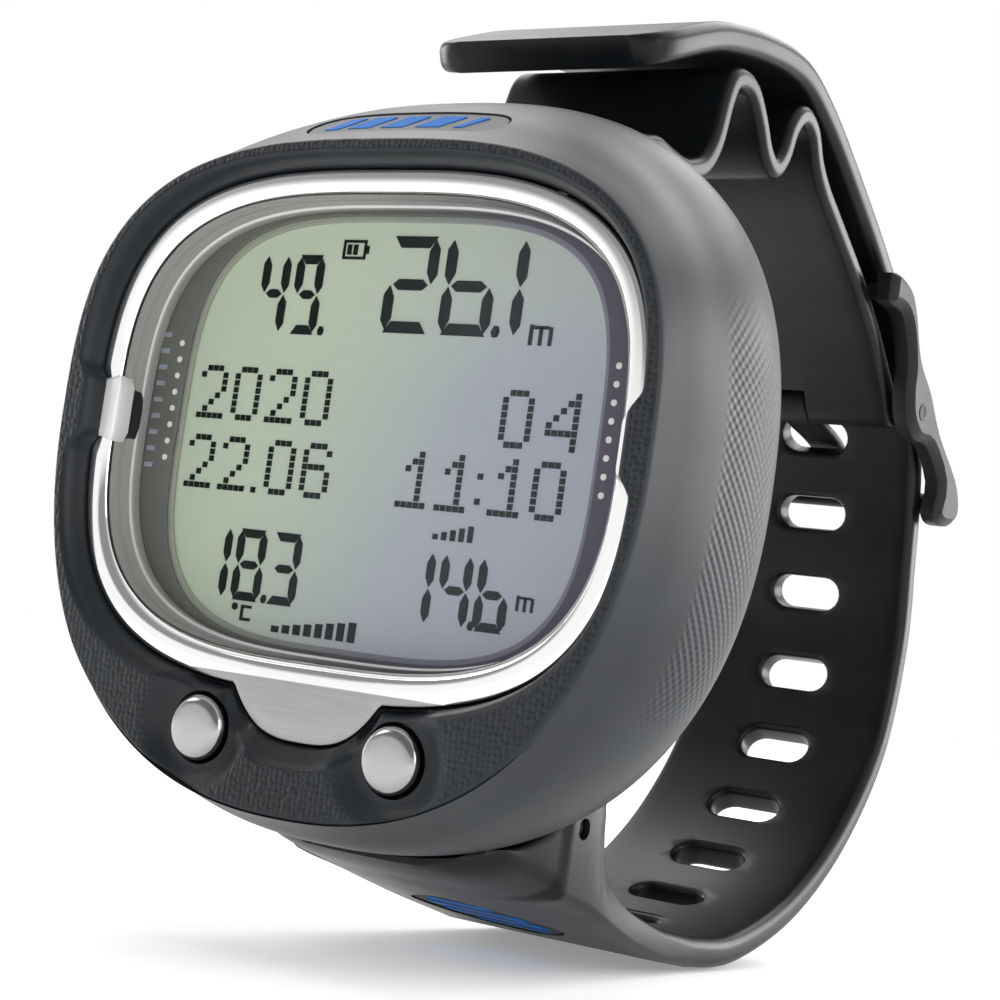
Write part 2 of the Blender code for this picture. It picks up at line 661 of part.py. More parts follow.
# ---- Case back ----
def build_case_back(parts, cutters, parent):
    plate_front = BACK_SEAT_DEPTH + BACK_PLATE_STEP
    plate_back = plate_front + BACK_PLATE_WALL
    plate = new_object("case_back",
                       face_plate("case_back", BACK_PLATE, plate_front, BACK_PLATE_WALL), parts,
                       "black_plastic", parent)
    new_object("case_back_gasket",
               face_frame("case_back_gasket", grown(CAVITY, 0.15), grown(CAVITY, 0.5),
                          BACK_SEAT_DEPTH + 0.25, 0.5), parts, "seal_rubber", parent)
    span = BACK_PLATE_WALL + 4.0
    middle = (plate_front + plate_back) / 2
    holes = [("cover_opening", 0.0, BATTERY_HEIGHT, COVER_RADIUS + SEAT_GAP, ROUND_STEPS * 2),
             ("port_opening", TOP_CORNER_X, TOP_CORNER_Z, PORT_RADIUS, ROUND_STEPS),
             ("stud_hole_left", -STUD_X, STUD_Z, STUD_RADIUS + SEAT_GAP, 12),
             ("stud_hole_right", STUD_X, STUD_Z, STUD_RADIUS + SEAT_GAP, 12)]
    for name, x, z, radius, steps in holes:
        mesh = rod_mesh(name, radius, span, (x, middle, z), "Y", steps)
        boolean(plate, guide(name, mesh, cutters, parent))
    for index, (x, z) in enumerate(screw_places(), 1):
        head = SCREW_HEAD_RADIUS + SEAT_GAP
        shank = SCREW_SHANK_RADIUS + SEAT_GAP
        seat = plate_back - SCREW_HEAD_THICKNESS - SEAT_GAP
        profile = [(0.0, plate_back + 1.0), (head, plate_back + 1.0), (head, seat),
                   (shank, seat), (shank, plate_front - 1.0), (0.0, plate_front - 1.0)]
        cutter = turned(f"screw_seat_{index}", profile, (x, 0, z), cutters, parent=parent,
                        steps=12)
        hide_guide(cutter)
        boolean(plate, cutter)
        build_screw(index, x, z, plate_back, parts, cutters, parent)
    for name, x in (("water_contact_left", -STUD_X), ("water_contact_right", STUD_X)):
        turned(name, disc_profile(STUD_RADIUS, -BACK_PLATE_WALL, 0.0), (x, plate_back, STUD_Z),
               parts, "spring_steel", parent, steps=12)
    build_battery_cover(plate_back, parts, cutters, parent)
    build_port_cover(plate_back, parts, cutters, parent)


def build_screw(index, x, z, plate_back, parts, cutters, parent):
    """A small cross-slotted screw that holds the case back."""
    profile = [(0.0, 0.0), (SCREW_HEAD_RADIUS, 0.0), (SCREW_HEAD_RADIUS, -SCREW_HEAD_THICKNESS),
               (SCREW_SHANK_RADIUS, -SCREW_HEAD_THICKNESS), (SCREW_SHANK_RADIUS, -SCREW_LENGTH),
               (0.0, -SCREW_LENGTH)]
    screw = turned(f"case_screw_{index}", profile, (x, plate_back, z), parts, "spring_steel",
                   parent, steps=12)
    for arm, size in (("a", (1.9, 1.0, 0.45)), ("b", (0.45, 1.0, 1.9))):
        mesh = box_mesh("drive", size, (x, plate_back, z))
        boolean(screw, guide(f"screw_drive_{index}_{arm}", mesh, cutters, parent))


def build_battery_cover(plate_back, parts, cutters, parent):
    """The coin-slotted cover and the seal round its skirt."""
    skirt = COVER_RADIUS - 1.0
    profile = [(0.0, 0.0), (COVER_RADIUS - 0.3, 0.0), (COVER_RADIUS, -0.3), (COVER_RADIUS, -1.3),
               (skirt, -1.3), (skirt, -COVER_THICKNESS), (0.0, -COVER_THICKNESS)]
    cover = turned("battery_cover", profile, (0, plate_back, BATTERY_HEIGHT), parts,
                   "black_plastic", parent, steps=ROUND_STEPS * 2)
    slot = box_mesh("coin_slot", (COIN_SLOT_LENGTH, 2 * COIN_SLOT_DEPTH, COIN_SLOT_WIDTH),
                    (0, plate_back, BATTERY_HEIGHT))
    boolean(cover, guide("coin_slot", slot, cutters, parent))
    inner = skirt + 0.1
    turned("battery_cover_o_ring", ring_profile(inner, inner + 0.7, -2.35, -1.65),
           (0, plate_back, BATTERY_HEIGHT), parts, "seal_rubber", parent, on_axis=False,
           steps=ROUND_STEPS * 2)


def build_port_cover(plate_back, parts, cutters, parent):
    """The pierced cap over the pressure sensor."""
    port = turned("sensor_port_cover", disc_profile(PORT_RADIUS - SEAT_GAP, -1.2, 0.0),
                  (TOP_CORNER_X, plate_back, TOP_CORNER_Z), parts, "black_plastic", parent)
    for i in range(PORT_HOLES):
        angle = 2 * math.pi * i / PORT_HOLES
        x = TOP_CORNER_X + PORT_HOLE_CIRCLE * math.cos(angle)
        z = TOP_CORNER_Z + PORT_HOLE_CIRCLE * math.sin(angle)
        hole = rod_mesh("port_hole", PORT_HOLE_RADIUS, 4.0, (x, plate_back, z), "Y", 10)
        boolean(port, guide(f"port_hole_{i + 1}", hole, cutters, parent))


# ---- Strap ----
def behind_case(points):
    """Points measured from the case's back plane, as depths from the bezel's front plane."""
    return [(CASE_DEPTH + depth, height) for depth, height in points]


UPPER_ROOT = [behind_case(pair) for pair in (
    ((1.2, 30.2), (1.2, 24.9)), ((3.8, 30.9), (3.8, 24.7)), ((6.4, 30.6), (6.0, 25.6)),
    ((8.4, 30.4), (8.2, 27.2)))]
UPPER_CENTRE = behind_case([
    (10.2, 29.4), (13.0, 30.6), (14.8, 33.2), (15.8, 37.4), (16.8, 39.7), (18.6, 40.4),
    (20.8, 39.9), (23.0, 37.8), (25.0, 35.2), (27.2, 34.2), (28.9, 35.9), (30.0, 39.0),
    (32.0, 40.9), (34.5, 40.0), (36.4, 37.2), (38.8, 35.0), (42.6, 32.6), (49.6, 28.2),
    (55.5, 23.7)])
LOWER_ROOT = [behind_case(pair) for pair in (
    ((-4.7, -36.3), (-4.7, -34.8)), ((-1.8, -37.0), (-1.8, -34.8)), ((0.8, -37.7), (0.8, -34.4)),
    ((1.2, -37.8), (1.2, -26.4)), ((6.2, -39.0), (6.2, -26.5)), ((10.3, -40.0), (7.6, -31.2)),
    ((14.2, -40.8), (10.0, -34.6)), ((19.3, -41.8), (15.4, -37.4)),
    ((25.8, -43.0), (24.2, -39.7)))]
LOWER_ROOT_EXTRA_WIDTHS = (0.9, 1.5, 1.9, 2.1, 2.1, 1.9, 1.5, 0.9, 0.3)
LOWER_CENTRE = behind_case([
    (31.8, -42.2), (41.3, -42.1), (53.6, -38.2), (64.0, -31.0), (71.6, -21.0), (74.2, -9.0),
    (73.4, 1.0), (72.5, 8.0), (70.7, 14.5), (67.4, 20.8), (61.4, 27.0), (54.2, 32.4),
    (46.2, 37.6), (38.8, 42.0), (32.8, 44.6), (28.1, 45.2), (22.7, 44.8), (17.4, 43.9),
    (11.6, 42.3), (1.4, 37.8)])
FIRST_SLOT = 8            # the centre path's point on which the highest slot lies


def pinned_end(sections, pin):
    """Two eased sections that carry a strap's end round its pin."""
    depth, height = pin
    along = Vector((1.0, -0.85)).normalized()
    normal = Vector((-along.y, along.x))
    for reach, half in ((-2.6, 1.3), (-0.9, 1.8), (0.9, 1.8), (1.9, 0.9)):
        centre = Vector((depth, height)) + along * reach
        sections.append(band_section(centre + normal * half, centre - normal * half,
                                     STRAP_HALF_WIDTH))


def tongue_cutter(name, pin, cutters, parent):
    """Room in a strap's root for the case's lug."""
    gap = LUG_RADIUS + SEAT_GAP
    size = (2 * (LUG_HALF_WIDTH + SEAT_GAP), 2 * gap + 6.0, 2 * gap)
    mesh = box_mesh(name, size, (0, pin[0] - 3.0, pin[1]))
    return guide(name, mesh, cutters, parent)


def pin_cutter(name, pin, half_length, cutters, parent):
    mesh = pin_rod(name, pin, PIN_RADIUS + SEAT_GAP, half_length, 16)
    return guide(name, mesh, cutters, parent)


def build_upper_strap(parts, cutters, parent):
    """The short strap with two bellows folds, from the upper lug to the buckle pin."""
    sections = [band_section(outer, inner, STRAP_HALF_WIDTH) for outer, inner in UPPER_ROOT]
    path = catmull_rom(UPPER_CENTRE, 2)
    sections += path_sections(path, lambda share: BELLOWS_THICKNESS,
                              lambda share: STRAP_HALF_WIDTH)
    pinned_end(sections, BUCKLE_PIN)
    strap = new_object("strap_upper", loft("strap_upper", sections), parts, "strap_rubber",
                       parent)
    boolean(strap, tongue_cutter("upper_tongue_room", UPPER_PIN, cutters, parent))
    boolean(strap, pin_cutter("upper_strap_pin_hole", UPPER_PIN, PIN_HOLE_REACH, cutters, parent))
    boolean(strap, pin_cutter("buckle_pin_hole", BUCKLE_PIN, PIN_HOLE_REACH, cutters, parent))
    notch = box_mesh("prong_notch", (PRONG_WIDTH + 2 * SEAT_GAP, 8.4, 12.0),
                     (0, BUCKLE_PIN[0] + 1.3, BUCKLE_PIN[1]), math.radians(-40))
    boolean(strap, guide("prong_notch", notch, cutters, parent))


def slot_places():
    """Centre and direction of each strap slot, from the highest one down."""
    per_span = 8
    path = catmull_rom(LOWER_CENTRE, per_span)
    index = FIRST_SLOT * per_span
    places = []
    for _ in range(SLOT_COUNT):
        places.append((path[index], direction_at(path, index)))
        travelled = 0.0
        while travelled < SLOT_PITCH and index > 0:
            travelled += (Vector(path[index]) - Vector(path[index - 1])).length
            index -= 1
    return places


def slot_mesh(name):
    """All the strap slots as one cutting shape of separate rounded bars."""
    half = (SLOT_LENGTH - SLOT_HEIGHT) / 2
    radius = SLOT_HEIGHT / 2
    def build(shape):
        for (depth, height), along in slot_places():
            normal = Vector((-along.y, along.x))
            ends = []
            for reach in (-3.5, 3.5):
                loop = []
                for i in range(12):
                    angle = 2 * math.pi * (i + 0.5) / 12
                    x = math.copysign(half, math.cos(angle)) + radius * math.cos(angle)
                    rise = radius * math.sin(angle)
                    y = depth + along.x * rise + normal.x * reach
                    z = height + along.y * rise + normal.y * reach
                    loop.append(shape.verts.new(millimetres((x, y, z))))
                ends.append(loop)
            for i in range(12):
                j = (i + 1) % 12
                shape.faces.new((ends[0][i], ends[0][j], ends[1][j], ends[1][i]))
            shape.faces.new(ends[0])
            shape.faces.new(ends[1])
    return mesh_from(build, name)


def build_lower_strap(parts, cutters, parent):
    """The long strap: wide root under the case, slots, and the tail that lies over the top."""
    sections = [band_section(outer, inner, STRAP_HALF_WIDTH + extra)
                for (outer, inner), extra in zip(LOWER_ROOT, LOWER_ROOT_EXTRA_WIDTHS)]
    path = catmull_rom(LOWER_CENTRE, 3)
    tail_from = (FIRST_SLOT + 0.5) / (len(LOWER_CENTRE) - 1)

    def thickness(share):
        ease = min(max((share - tail_from + 0.1) / 0.1, 0.0), 1.0)
        return -(STRAP_THICKNESS + (TAIL_THICKNESS - STRAP_THICKNESS) * ease)

    def half_width(share):
        tip = min(max((1.0 - share) / 0.02, 0.0), 1.0)
        return STRAP_HALF_WIDTH - 2.0 * (1.0 - tip)

    sections += path_sections(path, thickness, half_width)
    strap = new_object("strap_lower", loft("strap_lower", sections), parts, "strap_rubber",
                       parent)
    boolean(strap, tongue_cutter("lower_tongue_room", LOWER_PIN, cutters, parent))
    boolean(strap, pin_cutter("lower_strap_pin_hole", LOWER_PIN, PIN_HOLE_REACH + 3.0, cutters, parent))
    boolean(strap, guide("strap_slots", slot_mesh("strap_slots"), cutters, parent))


def build_strap_pins(parts, parent):
    for name, pin, half_length in (("strap_pin_upper", UPPER_PIN, STRAP_HALF_WIDTH - SEAT_GAP),
                                   ("strap_pin_lower", LOWER_PIN, STRAP_HALF_WIDTH + 1.5)):
        mesh = rod_mesh(name, PIN_RADIUS, 2 * half_length, (0, 0, 0), "X", 16)
        item = new_object(name, mesh, parts, "spring_steel", parent)
        item.location = millimetres((0, *pin))


# ---- Buckle ----
CHEEK_OUTLINE = behind_case([
    (51.7, 29.6), (56.2, 29.4), (58.8, 27.0), (61.4, 22.6), (65.4, 19.6), (69.4, 15.6),
    (75.7, 11.4), (77.8, 8.2), (77.0, 6.0), (73.4, 5.4), (71.4, 6.6), (71.8, 10.0), (67.2, 13.4),
    (63.4, 13.6), (60.6, 15.4), (59.4, 18.4), (59.2, 21.0), (57.4, 24.6), (55.2, 26.2),
    (51.7, 26.6)])


def cheek_mesh(name, low_x, high_x):
    """A side cheek of the buckle frame, relative to the buckle pin."""
    sections = [[(x, y - BUCKLE_PIN[0], z - BUCKLE_PIN[1]) for y, z in CHEEK_OUTLINE]
                for x in (low_x, high_x)]
    return loft(name, sections)


def build_buckle(parts, cutters, parent):
    """Frame with two cheeks and two bars, its pin, and the prong, all about the pin's axis."""
    inner = STRAP_HALF_WIDTH + CHEEK_GAP
    outer = inner + BUCKLE_CHEEK
    frame = new_object("buckle_frame", cheek_mesh("buckle_frame", -outer, -inner), parts,
                       "black_plastic", parent)
    frame.location = millimetres((0, *BUCKLE_PIN))
    right = guide("right_cheek", cheek_mesh("right_cheek", inner, outer), cutters, frame)
    boolean(frame, right, "UNION")
    for name, bar, radius in (("lower_bar", LOWER_BAR, LOWER_BAR_RADIUS),
                              ("upper_bar", UPPER_BAR, UPPER_BAR_RADIUS)):
        offset = (bar[0] - BUCKLE_PIN[0], bar[1] - BUCKLE_PIN[1])
        mesh = pin_rod(name, offset, radius, inner + BUCKLE_CHEEK / 2, 12)
        boolean(frame, guide(name, mesh, cutters, frame), "UNION")
    hole = pin_rod("frame_pin_hole", (0, 0), PIN_RADIUS + SEAT_GAP, outer + 2, 16)
    boolean(frame, guide("frame_pin_hole", hole, cutters, frame))
    pin = new_object("buckle_pin", rod_mesh("buckle_pin", PIN_RADIUS, 2 * outer, (0, 0, 0), "X",
                                            16), parts, "spring_steel", parent)
    pin.location = millimetres((0, *BUCKLE_PIN))
    build_prong(parts, cutters, parent)


PRONG_CENTRE = behind_case([
    (64.2, 16.1), (67.4, 15.2), (70.7, 14.45), (73.6, 13.5), (76.2, 11.9), (78.0, 9.9),
    (78.6, 8.5)])


def build_prong(parts, cutters, parent):
    """The tongue of the buckle: a hub on the pin and a curved finger through the top slot."""
    path = [(y - BUCKLE_PIN[0], z - BUCKLE_PIN[1]) for y, z in catmull_rom(PRONG_CENTRE, 3)]
    sections = path_sections(path, lambda share: -PRONG_THICKNESS * (1.0 - 0.35 * share),
                             lambda share: PRONG_WIDTH / 2 * (1.0 - 0.15 * share))
    prong = new_object("prong", loft("prong", sections), parts, "black_plastic", parent)
    prong.location = millimetres((0, *BUCKLE_PIN))
    hub = pin_rod("prong_hub", (0, 0), HUB_RADIUS, PRONG_WIDTH / 2, 16)
    boolean(prong, guide("prong_hub", hub, cutters, prong), "UNION")
    hole = pin_rod("prong_pin_hole", (0, 0), PIN_RADIUS + SEAT_GAP, PRONG_WIDTH, 16)
    boolean(prong, guide("prong_pin_hole", hole, cutters, prong))


# ---- Inlays ----
def inlay_mesh(name, half_width, length):
    """A thin plate with round corners, lying flat."""
    def build(shape):
        bmesh.ops.create_cube(shape, size=1.0)
        bmesh.ops.scale(shape, vec=millimetres((2 * half_width, length, INLAY_THICKNESS)),
                        verts=shape.verts)
        corners = [edge for edge in shape.edges
                   if abs(edge.verts[0].co.z - edge.verts[1].co.z) > INLAY_THICKNESS * MM / 2]
        bmesh.ops.bevel(shape, geom=corners, offset=INLAY_CORNER * MM, segments=3,
                        affect="EDGES", profile=0.5)
    return mesh_from(build, name)


def build_inlays(parts, cutters, parent):
    centre, tilt = top_slope()
    top = new_object("top_inlay", inlay_mesh("top_inlay", TOP_INLAY_HALF_WIDTH,
                                             TOP_INLAY_LENGTH), parts, "blue_print", parent)
    top.location = millimetres(centre)
    top.rotation_euler = (tilt, 0.0, 0.0)
    start = Vector(LOWER_ROOT[4][0])
    end = Vector(LOWER_ROOT[7][0])
    middle = (start + end) / 2
    slope = math.atan2(end.y - start.y, end.x - start.x)
    recess = box_mesh("bottom_inlay_recess",
                      (2 * (BOTTOM_INLAY_HALF_WIDTH + SEAT_GAP),
                       BOTTOM_INLAY_LENGTH + 2 * SEAT_GAP,
                       2 * (INLAY_THICKNESS + SEAT_GAP)), (0, *middle), slope)
    cutter = guide("bottom_inlay_recess", recess, cutters, parent)
    boolean(bpy.data.objects["strap_lower"], cutter)
    bottom = new_object("bottom_inlay", inlay_mesh("bottom_inlay", BOTTOM_INLAY_HALF_WIDTH,
                                                   BOTTOM_INLAY_LENGTH), parts, "blue_print",
                        parent)
    bottom.location = millimetres((0, *middle))
    bottom.rotation_euler = (slope, 0.0, 0.0)


# ---- Assembly ----
def stand_on_lowest_point(parts, frame):
    """Move the whole computer so that it stands on z = 0, centred over the origin."""
    bpy.context.view_layer.update()
    depsgraph = bpy.context.evaluated_depsgraph_get()
    lows = Vector((math.inf,) * 3)
    highs = Vector((-math.inf,) * 3)
    for item in parts.objects:
        solid = item.evaluated_get(depsgraph)
        for vertex in solid.to_mesh().vertices:
            point = solid.matrix_world @ vertex.co
            lows = Vector(map(min, lows, point))
            highs = Vector(map(max, highs, point))
        solid.to_mesh_clear()
    middle = (lows + highs) / 2
    frame.location = (-middle.x, -middle.y, -lows.z)


def main():
    clear_scene()
    parts = new_collection("dive_computer")
    cutters = new_collection("cutters")
    frame = bpy.data.objects.new("display_centre", None)
    bpy.context.scene.collection.objects.link(frame)
    build_case(parts, cutters, frame)
    build_window(parts, frame)
    build_bezel_clip(parts, frame)
    build_electronics(parts, cutters, frame)
    for side, x in (("left", -BUTTON_X), ("right", BUTTON_X)):
        build_button(side, x, parts, frame)
    build_case_back(parts, cutters, frame)
    build_upper_strap(parts, cutters, frame)
    build_lower_strap(parts, cutters, frame)
    build_strap_pins(parts, frame)
    build_buckle(parts, cutters, frame)
    build_inlays(parts, cutters, frame)
    stand_on_lowest_point(parts, frame)


main()
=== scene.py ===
"""Looks of a wrist dive computer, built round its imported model.

Lengths are millimetres in the dial's own frame unless a name says otherwise: the origin is the middle of
the display on the bezel's front plane, X to 3 o'clock, Y into the case, Z to 12 o'clock.
"""

import json
import logging
import math
from dataclasses import dataclass, field
from enum import Enum
from typing import Callable, Iterable, Sequence

import bmesh
import bpy
from mathutils import Matrix, Vector

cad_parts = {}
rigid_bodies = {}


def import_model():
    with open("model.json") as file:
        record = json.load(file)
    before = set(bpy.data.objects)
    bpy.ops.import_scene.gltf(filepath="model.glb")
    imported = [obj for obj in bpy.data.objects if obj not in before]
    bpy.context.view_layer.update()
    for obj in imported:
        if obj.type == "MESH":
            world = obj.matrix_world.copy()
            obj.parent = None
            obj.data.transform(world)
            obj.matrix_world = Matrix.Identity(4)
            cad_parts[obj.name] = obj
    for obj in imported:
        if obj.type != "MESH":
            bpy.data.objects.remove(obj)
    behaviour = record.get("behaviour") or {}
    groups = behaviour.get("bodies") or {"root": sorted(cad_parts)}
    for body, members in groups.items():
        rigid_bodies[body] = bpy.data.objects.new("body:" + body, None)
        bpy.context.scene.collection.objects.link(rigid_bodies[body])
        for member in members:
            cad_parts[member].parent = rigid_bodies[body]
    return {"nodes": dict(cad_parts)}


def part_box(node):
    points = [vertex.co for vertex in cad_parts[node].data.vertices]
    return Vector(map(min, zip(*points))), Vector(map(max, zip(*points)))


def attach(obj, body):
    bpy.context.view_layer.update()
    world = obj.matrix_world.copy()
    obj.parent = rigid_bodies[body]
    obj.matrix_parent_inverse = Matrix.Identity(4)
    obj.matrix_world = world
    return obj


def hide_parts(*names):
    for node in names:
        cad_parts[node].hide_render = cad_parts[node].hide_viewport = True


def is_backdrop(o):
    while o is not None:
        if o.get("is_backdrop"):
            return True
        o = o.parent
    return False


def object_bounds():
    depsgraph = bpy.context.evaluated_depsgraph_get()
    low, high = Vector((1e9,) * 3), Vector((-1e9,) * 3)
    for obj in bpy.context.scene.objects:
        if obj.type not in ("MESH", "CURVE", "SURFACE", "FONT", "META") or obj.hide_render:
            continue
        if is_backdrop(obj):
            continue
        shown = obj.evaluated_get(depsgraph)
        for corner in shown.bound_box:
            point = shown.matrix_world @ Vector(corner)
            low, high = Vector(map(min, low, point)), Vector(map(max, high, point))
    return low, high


for leftover in list(bpy.data.objects):
    bpy.data.objects.remove(leftover, do_unlink=True)

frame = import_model()
CAD_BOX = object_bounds()
MM = 0.001
LOG = logging.getLogger("dive_computer")

Point = tuple[float, float, float]
Flat = tuple[float, float]
Colour = tuple[float, float, float]


def dial_origin() -> Vector:
    """The middle of the display on the bezel's front plane, in the frame's metres.

    Returns:
        The place in metres.
    """
    low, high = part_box("lcd_panel")
    middle = (low + high) / 2
    return Vector((middle.x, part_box("bezel_ring")[0].y, middle.z))


ORIGIN = dial_origin()


def metres(point: Sequence[float]) -> Vector:
    """A dial point, in millimetres, as a place in the frame's metres."""
    return ORIGIN + Vector(point) * MM


# ---- Shader maths ----
class Value:
    """A shader socket that takes Python's arithmetic."""

    def __init__(self, tree: bpy.types.NodeTree, socket: bpy.types.NodeSocket) -> None:
        """Keep the socket and the tree it belongs to."""
        self.tree = tree
        self.socket = socket

    def maths(self, operation: str, first: "Value | float", second: "Value | float" = 0.0) -> "Value":
        """Add one Math node.

        Args:
            operation: the node's operation.
            first: its first operand.
            second: its second operand.

        Returns:
            The node's result.
        """
        node = self.tree.nodes.new("ShaderNodeMath")
        node.operation = operation
        for socket, value in zip(node.inputs, (first, second)):
            if isinstance(value, Value):
                self.tree.links.new(value.socket, socket)
            else:
                socket.default_value = value
        return Value(self.tree, node.outputs[0])

    def __add__(self, other: "Value | float") -> "Value":
        """Sum."""
        return self.maths("ADD", self, other)

    __radd__ = __add__

    def __mul__(self, other: "Value | float") -> "Value":
        """Product."""
        return self.maths("MULTIPLY", self, other)

    __rmul__ = __mul__

    def __sub__(self, other: "Value | float") -> "Value":
        """Difference."""
        return self.maths("SUBTRACT", self, other)

    def __rsub__(self, other: "Value | float") -> "Value":
        """Difference with the socket second."""
        return self.maths("SUBTRACT", other, self)

    def sine(self) -> "Value":
        """Sine of an angle in radians."""
        return self.maths("SINE", self)


class Recipe:
    """The nodes of one material."""

    def __init__(self, name: str) -> None:
        """Start a material with a Principled shader.

        Args:
            name: its name.
        """
        self.material = bpy.data.materials.new(name)
        self.material.use_nodes = True
        self.tree = self.material.node_tree
        self.shader = self.tree.nodes["Principled BSDF"]

    def node(self, kind: str, settings: dict | None = None, inputs: dict | None = None,
             output: str | int = 0) -> Value:
        """Add one node.

        Args:
            kind: the node's type without its ShaderNode prefix.
            settings: attributes to set before its sockets exist in their final form.
            inputs: values or links of its sockets.
            output: the socket to hand back.

        Returns:
            The chosen output.
        """
        node = self.tree.nodes.new("ShaderNode" + kind)
        for key, value in (settings or {}).items():
            setattr(node, key, value)
        for key, value in (inputs or {}).items():
            if isinstance(value, Value):
                self.tree.links.new(value.socket, node.inputs[key])
            else:
                node.inputs[key].default_value = value
        return Value(self.tree, node.outputs[output])

    def set(self, **sockets: "Value | float | Colour") -> None:
        """Set or link sockets of the Principled shader, named with underscores for spaces.

        Args:
            sockets: value or link of each socket.
        """
        for key, value in sockets.items():
            socket = self.shader.inputs[key.replace("_", " ")]
            if isinstance(value, Value):
                self.tree.links.new(value.socket, socket)
            elif isinstance(value, tuple):
                socket.default_value = (*value, 1.0)
            else:
                socket.default_value = value

    def place(self) -> Value:
        """Object coordinates."""
        return self.node("TexCoord", output="Object")

    def axis(self, name: str) -> Value:
        """One object coordinate in dial millimetres."""
        split = self.node("SeparateXYZ", inputs={0: self.place()}, output=name)
        return (split - ORIGIN["XYZ".index(name)]) * (1 / MM)

    def attribute(self, name: str) -> Value:
        """A number kept on the mesh."""
        return self.node("Attribute", {"attribute_name": name}, output="Fac")

    def noise(self, size: float, detail: float = 3.0, roughness: float = 0.5) -> Value:
        """Noise whose features are about size millimetres."""
        return self.node("TexNoise", inputs={"Vector": self.place(), "Scale": 1 / (size * MM),
                                             "Detail": detail, "Roughness": roughness})

    def grain(self, size: float) -> Value:
        """Rows of small moulded scales of about size millimetres.

        Args:
            size: size of one feature in millimetres.

        Returns:
            Height of the scales.
        """
        cells = self.node("TexVoronoi", {"feature": "F1"}, {"Vector": self.place(), "Scale": 1 / (size * MM),
                                                             "Randomness": 0.45})
        return 1 - cells * cells * 2.2

    def ramp(self, value: Value, low: float, high: float) -> Value:
        """0 below low, 1 above high, eased between."""
        return self.node("MapRange", {"interpolation_type": "SMOOTHSTEP"},
                         {"Value": value, "From Min": low, "From Max": high})

    def mix(self, share: "Value | float", first: "Value | Colour", second: "Value | Colour") -> Value:
        """Blend two colours.

        Args:
            share: 0 gives the first colour, 1 the second.
            first: the first colour.
            second: the second colour.

        Returns:
            The blended colour.
        """
        node = self.tree.nodes.new("ShaderNodeMix")
        node.data_type = "RGBA"
        for socket, value in zip((node.inputs[0], node.inputs[6], node.inputs[7]),
                                 (share, first, second)):
            if isinstance(value, Value):
                self.tree.links.new(value.socket, socket)
            elif isinstance(value, tuple):
                socket.default_value = (*value, 1.0)
            else:
                socket.default_value = value
        return Value(self.tree, node.outputs[2])

    def bump(self, height: Value, depth: float, strength: float = 1.0) -> None:
        """Feed a height into the shader's normal, depth being its full relief in millimetres.

        Args:
            height: the height to follow.
            depth: the full relief in millimetres.
            strength: share of the relief used.
        """
        normal = self.node("Bump", inputs={"Height": height, "Distance": depth * MM,
                                           "Strength": strength})
        self.set(Normal=normal)


# ---- Finishes ----
@dataclass(frozen=True)
class Rubber:
    """Satin moulded rubber with a fine skin, and optional leather grain and woven band by attribute."""

    name: str
    colour: Colour
    worn: Colour
    roughness: float = 0.5
    grained: bool = False
    gloss: float = 0.35

    def material(self) -> bpy.types.Material:
        """Build the material.

        Returns:
            The new material.
        """
        recipe = Recipe(self.name)
        cloud = recipe.noise(9.0, 2.0)
        skin = recipe.noise(0.16, 2.0)
        height = skin * 0.12
        rough = self.roughness + (cloud - 0.5) * 0.12
        shade = recipe.ramp(cloud, 0.35, 0.75)
        if self.grained:
            land = recipe.attribute("grain")
            band = recipe.attribute("weave")
            cells = recipe.grain(0.52)
            around = recipe.attribute("around")
            across = recipe.attribute("across")
            turn = 2 * math.pi / 1.0
            weave = (around * turn).sine() * (across * turn).sine()
            height = height + cells * land * 1.5 + weave * band * 0.6
            rough = rough + land * 0.06 + band * 0.05
            shade = shade * 0.7 + cells * land * 0.35 + weave * band * 0.15
        recipe.set(Base_Color=recipe.mix(shade, self.colour, self.worn), Roughness=rough)
        recipe.shader.inputs["Specular IOR Level"].default_value = self.gloss
        recipe.bump(height, 0.07)
        return recipe.material


@dataclass(frozen=True)
class Steel:
    """Metal, polished or brushed along X."""

    name: str
    colour: Colour = (0.86, 0.86, 0.85)
    roughness: float = 0.1
    brushed: float = 0.0
    metallic: float = 1.0
    satin_below: float | None = None

    def material(self) -> bpy.types.Material:
        """Build the material.

        Returns:
            The new material.
        """
        recipe = Recipe(self.name)
        stretch = recipe.node("Mapping", inputs={"Vector": recipe.place(), "Scale": (0.03, 1.0, 1.0)})
        lines = recipe.node("TexNoise", inputs={"Vector": stretch, "Scale": 1 / (0.12 * MM),
                                                "Detail": 2.0})
        cloud = recipe.noise(6.0, 2.0)
        rough = self.roughness + (lines - 0.5) * (0.35 * self.brushed) + (cloud - 0.5) * 0.05
        tone = recipe.mix(lines * self.brushed, self.colour, tuple(0.78 * c for c in self.colour))
        relief = lines * self.brushed
        if self.satin_below is not None:
            zone = 1 - recipe.ramp(recipe.axis("Z"), self.satin_below - 0.12, self.satin_below)
            satin = recipe.mix(lines, (0.30, 0.30, 0.295), (0.42, 0.42, 0.41))
            tone = recipe.mix(zone, tone, satin)
            rough = rough + zone * (lines * 0.12 + 0.2)
            relief = relief + zone * lines * 0.4
        recipe.set(Base_Color=tone, Metallic=self.metallic, Roughness=rough)
        recipe.bump(relief + cloud * 0.02, 0.01)
        return recipe.material


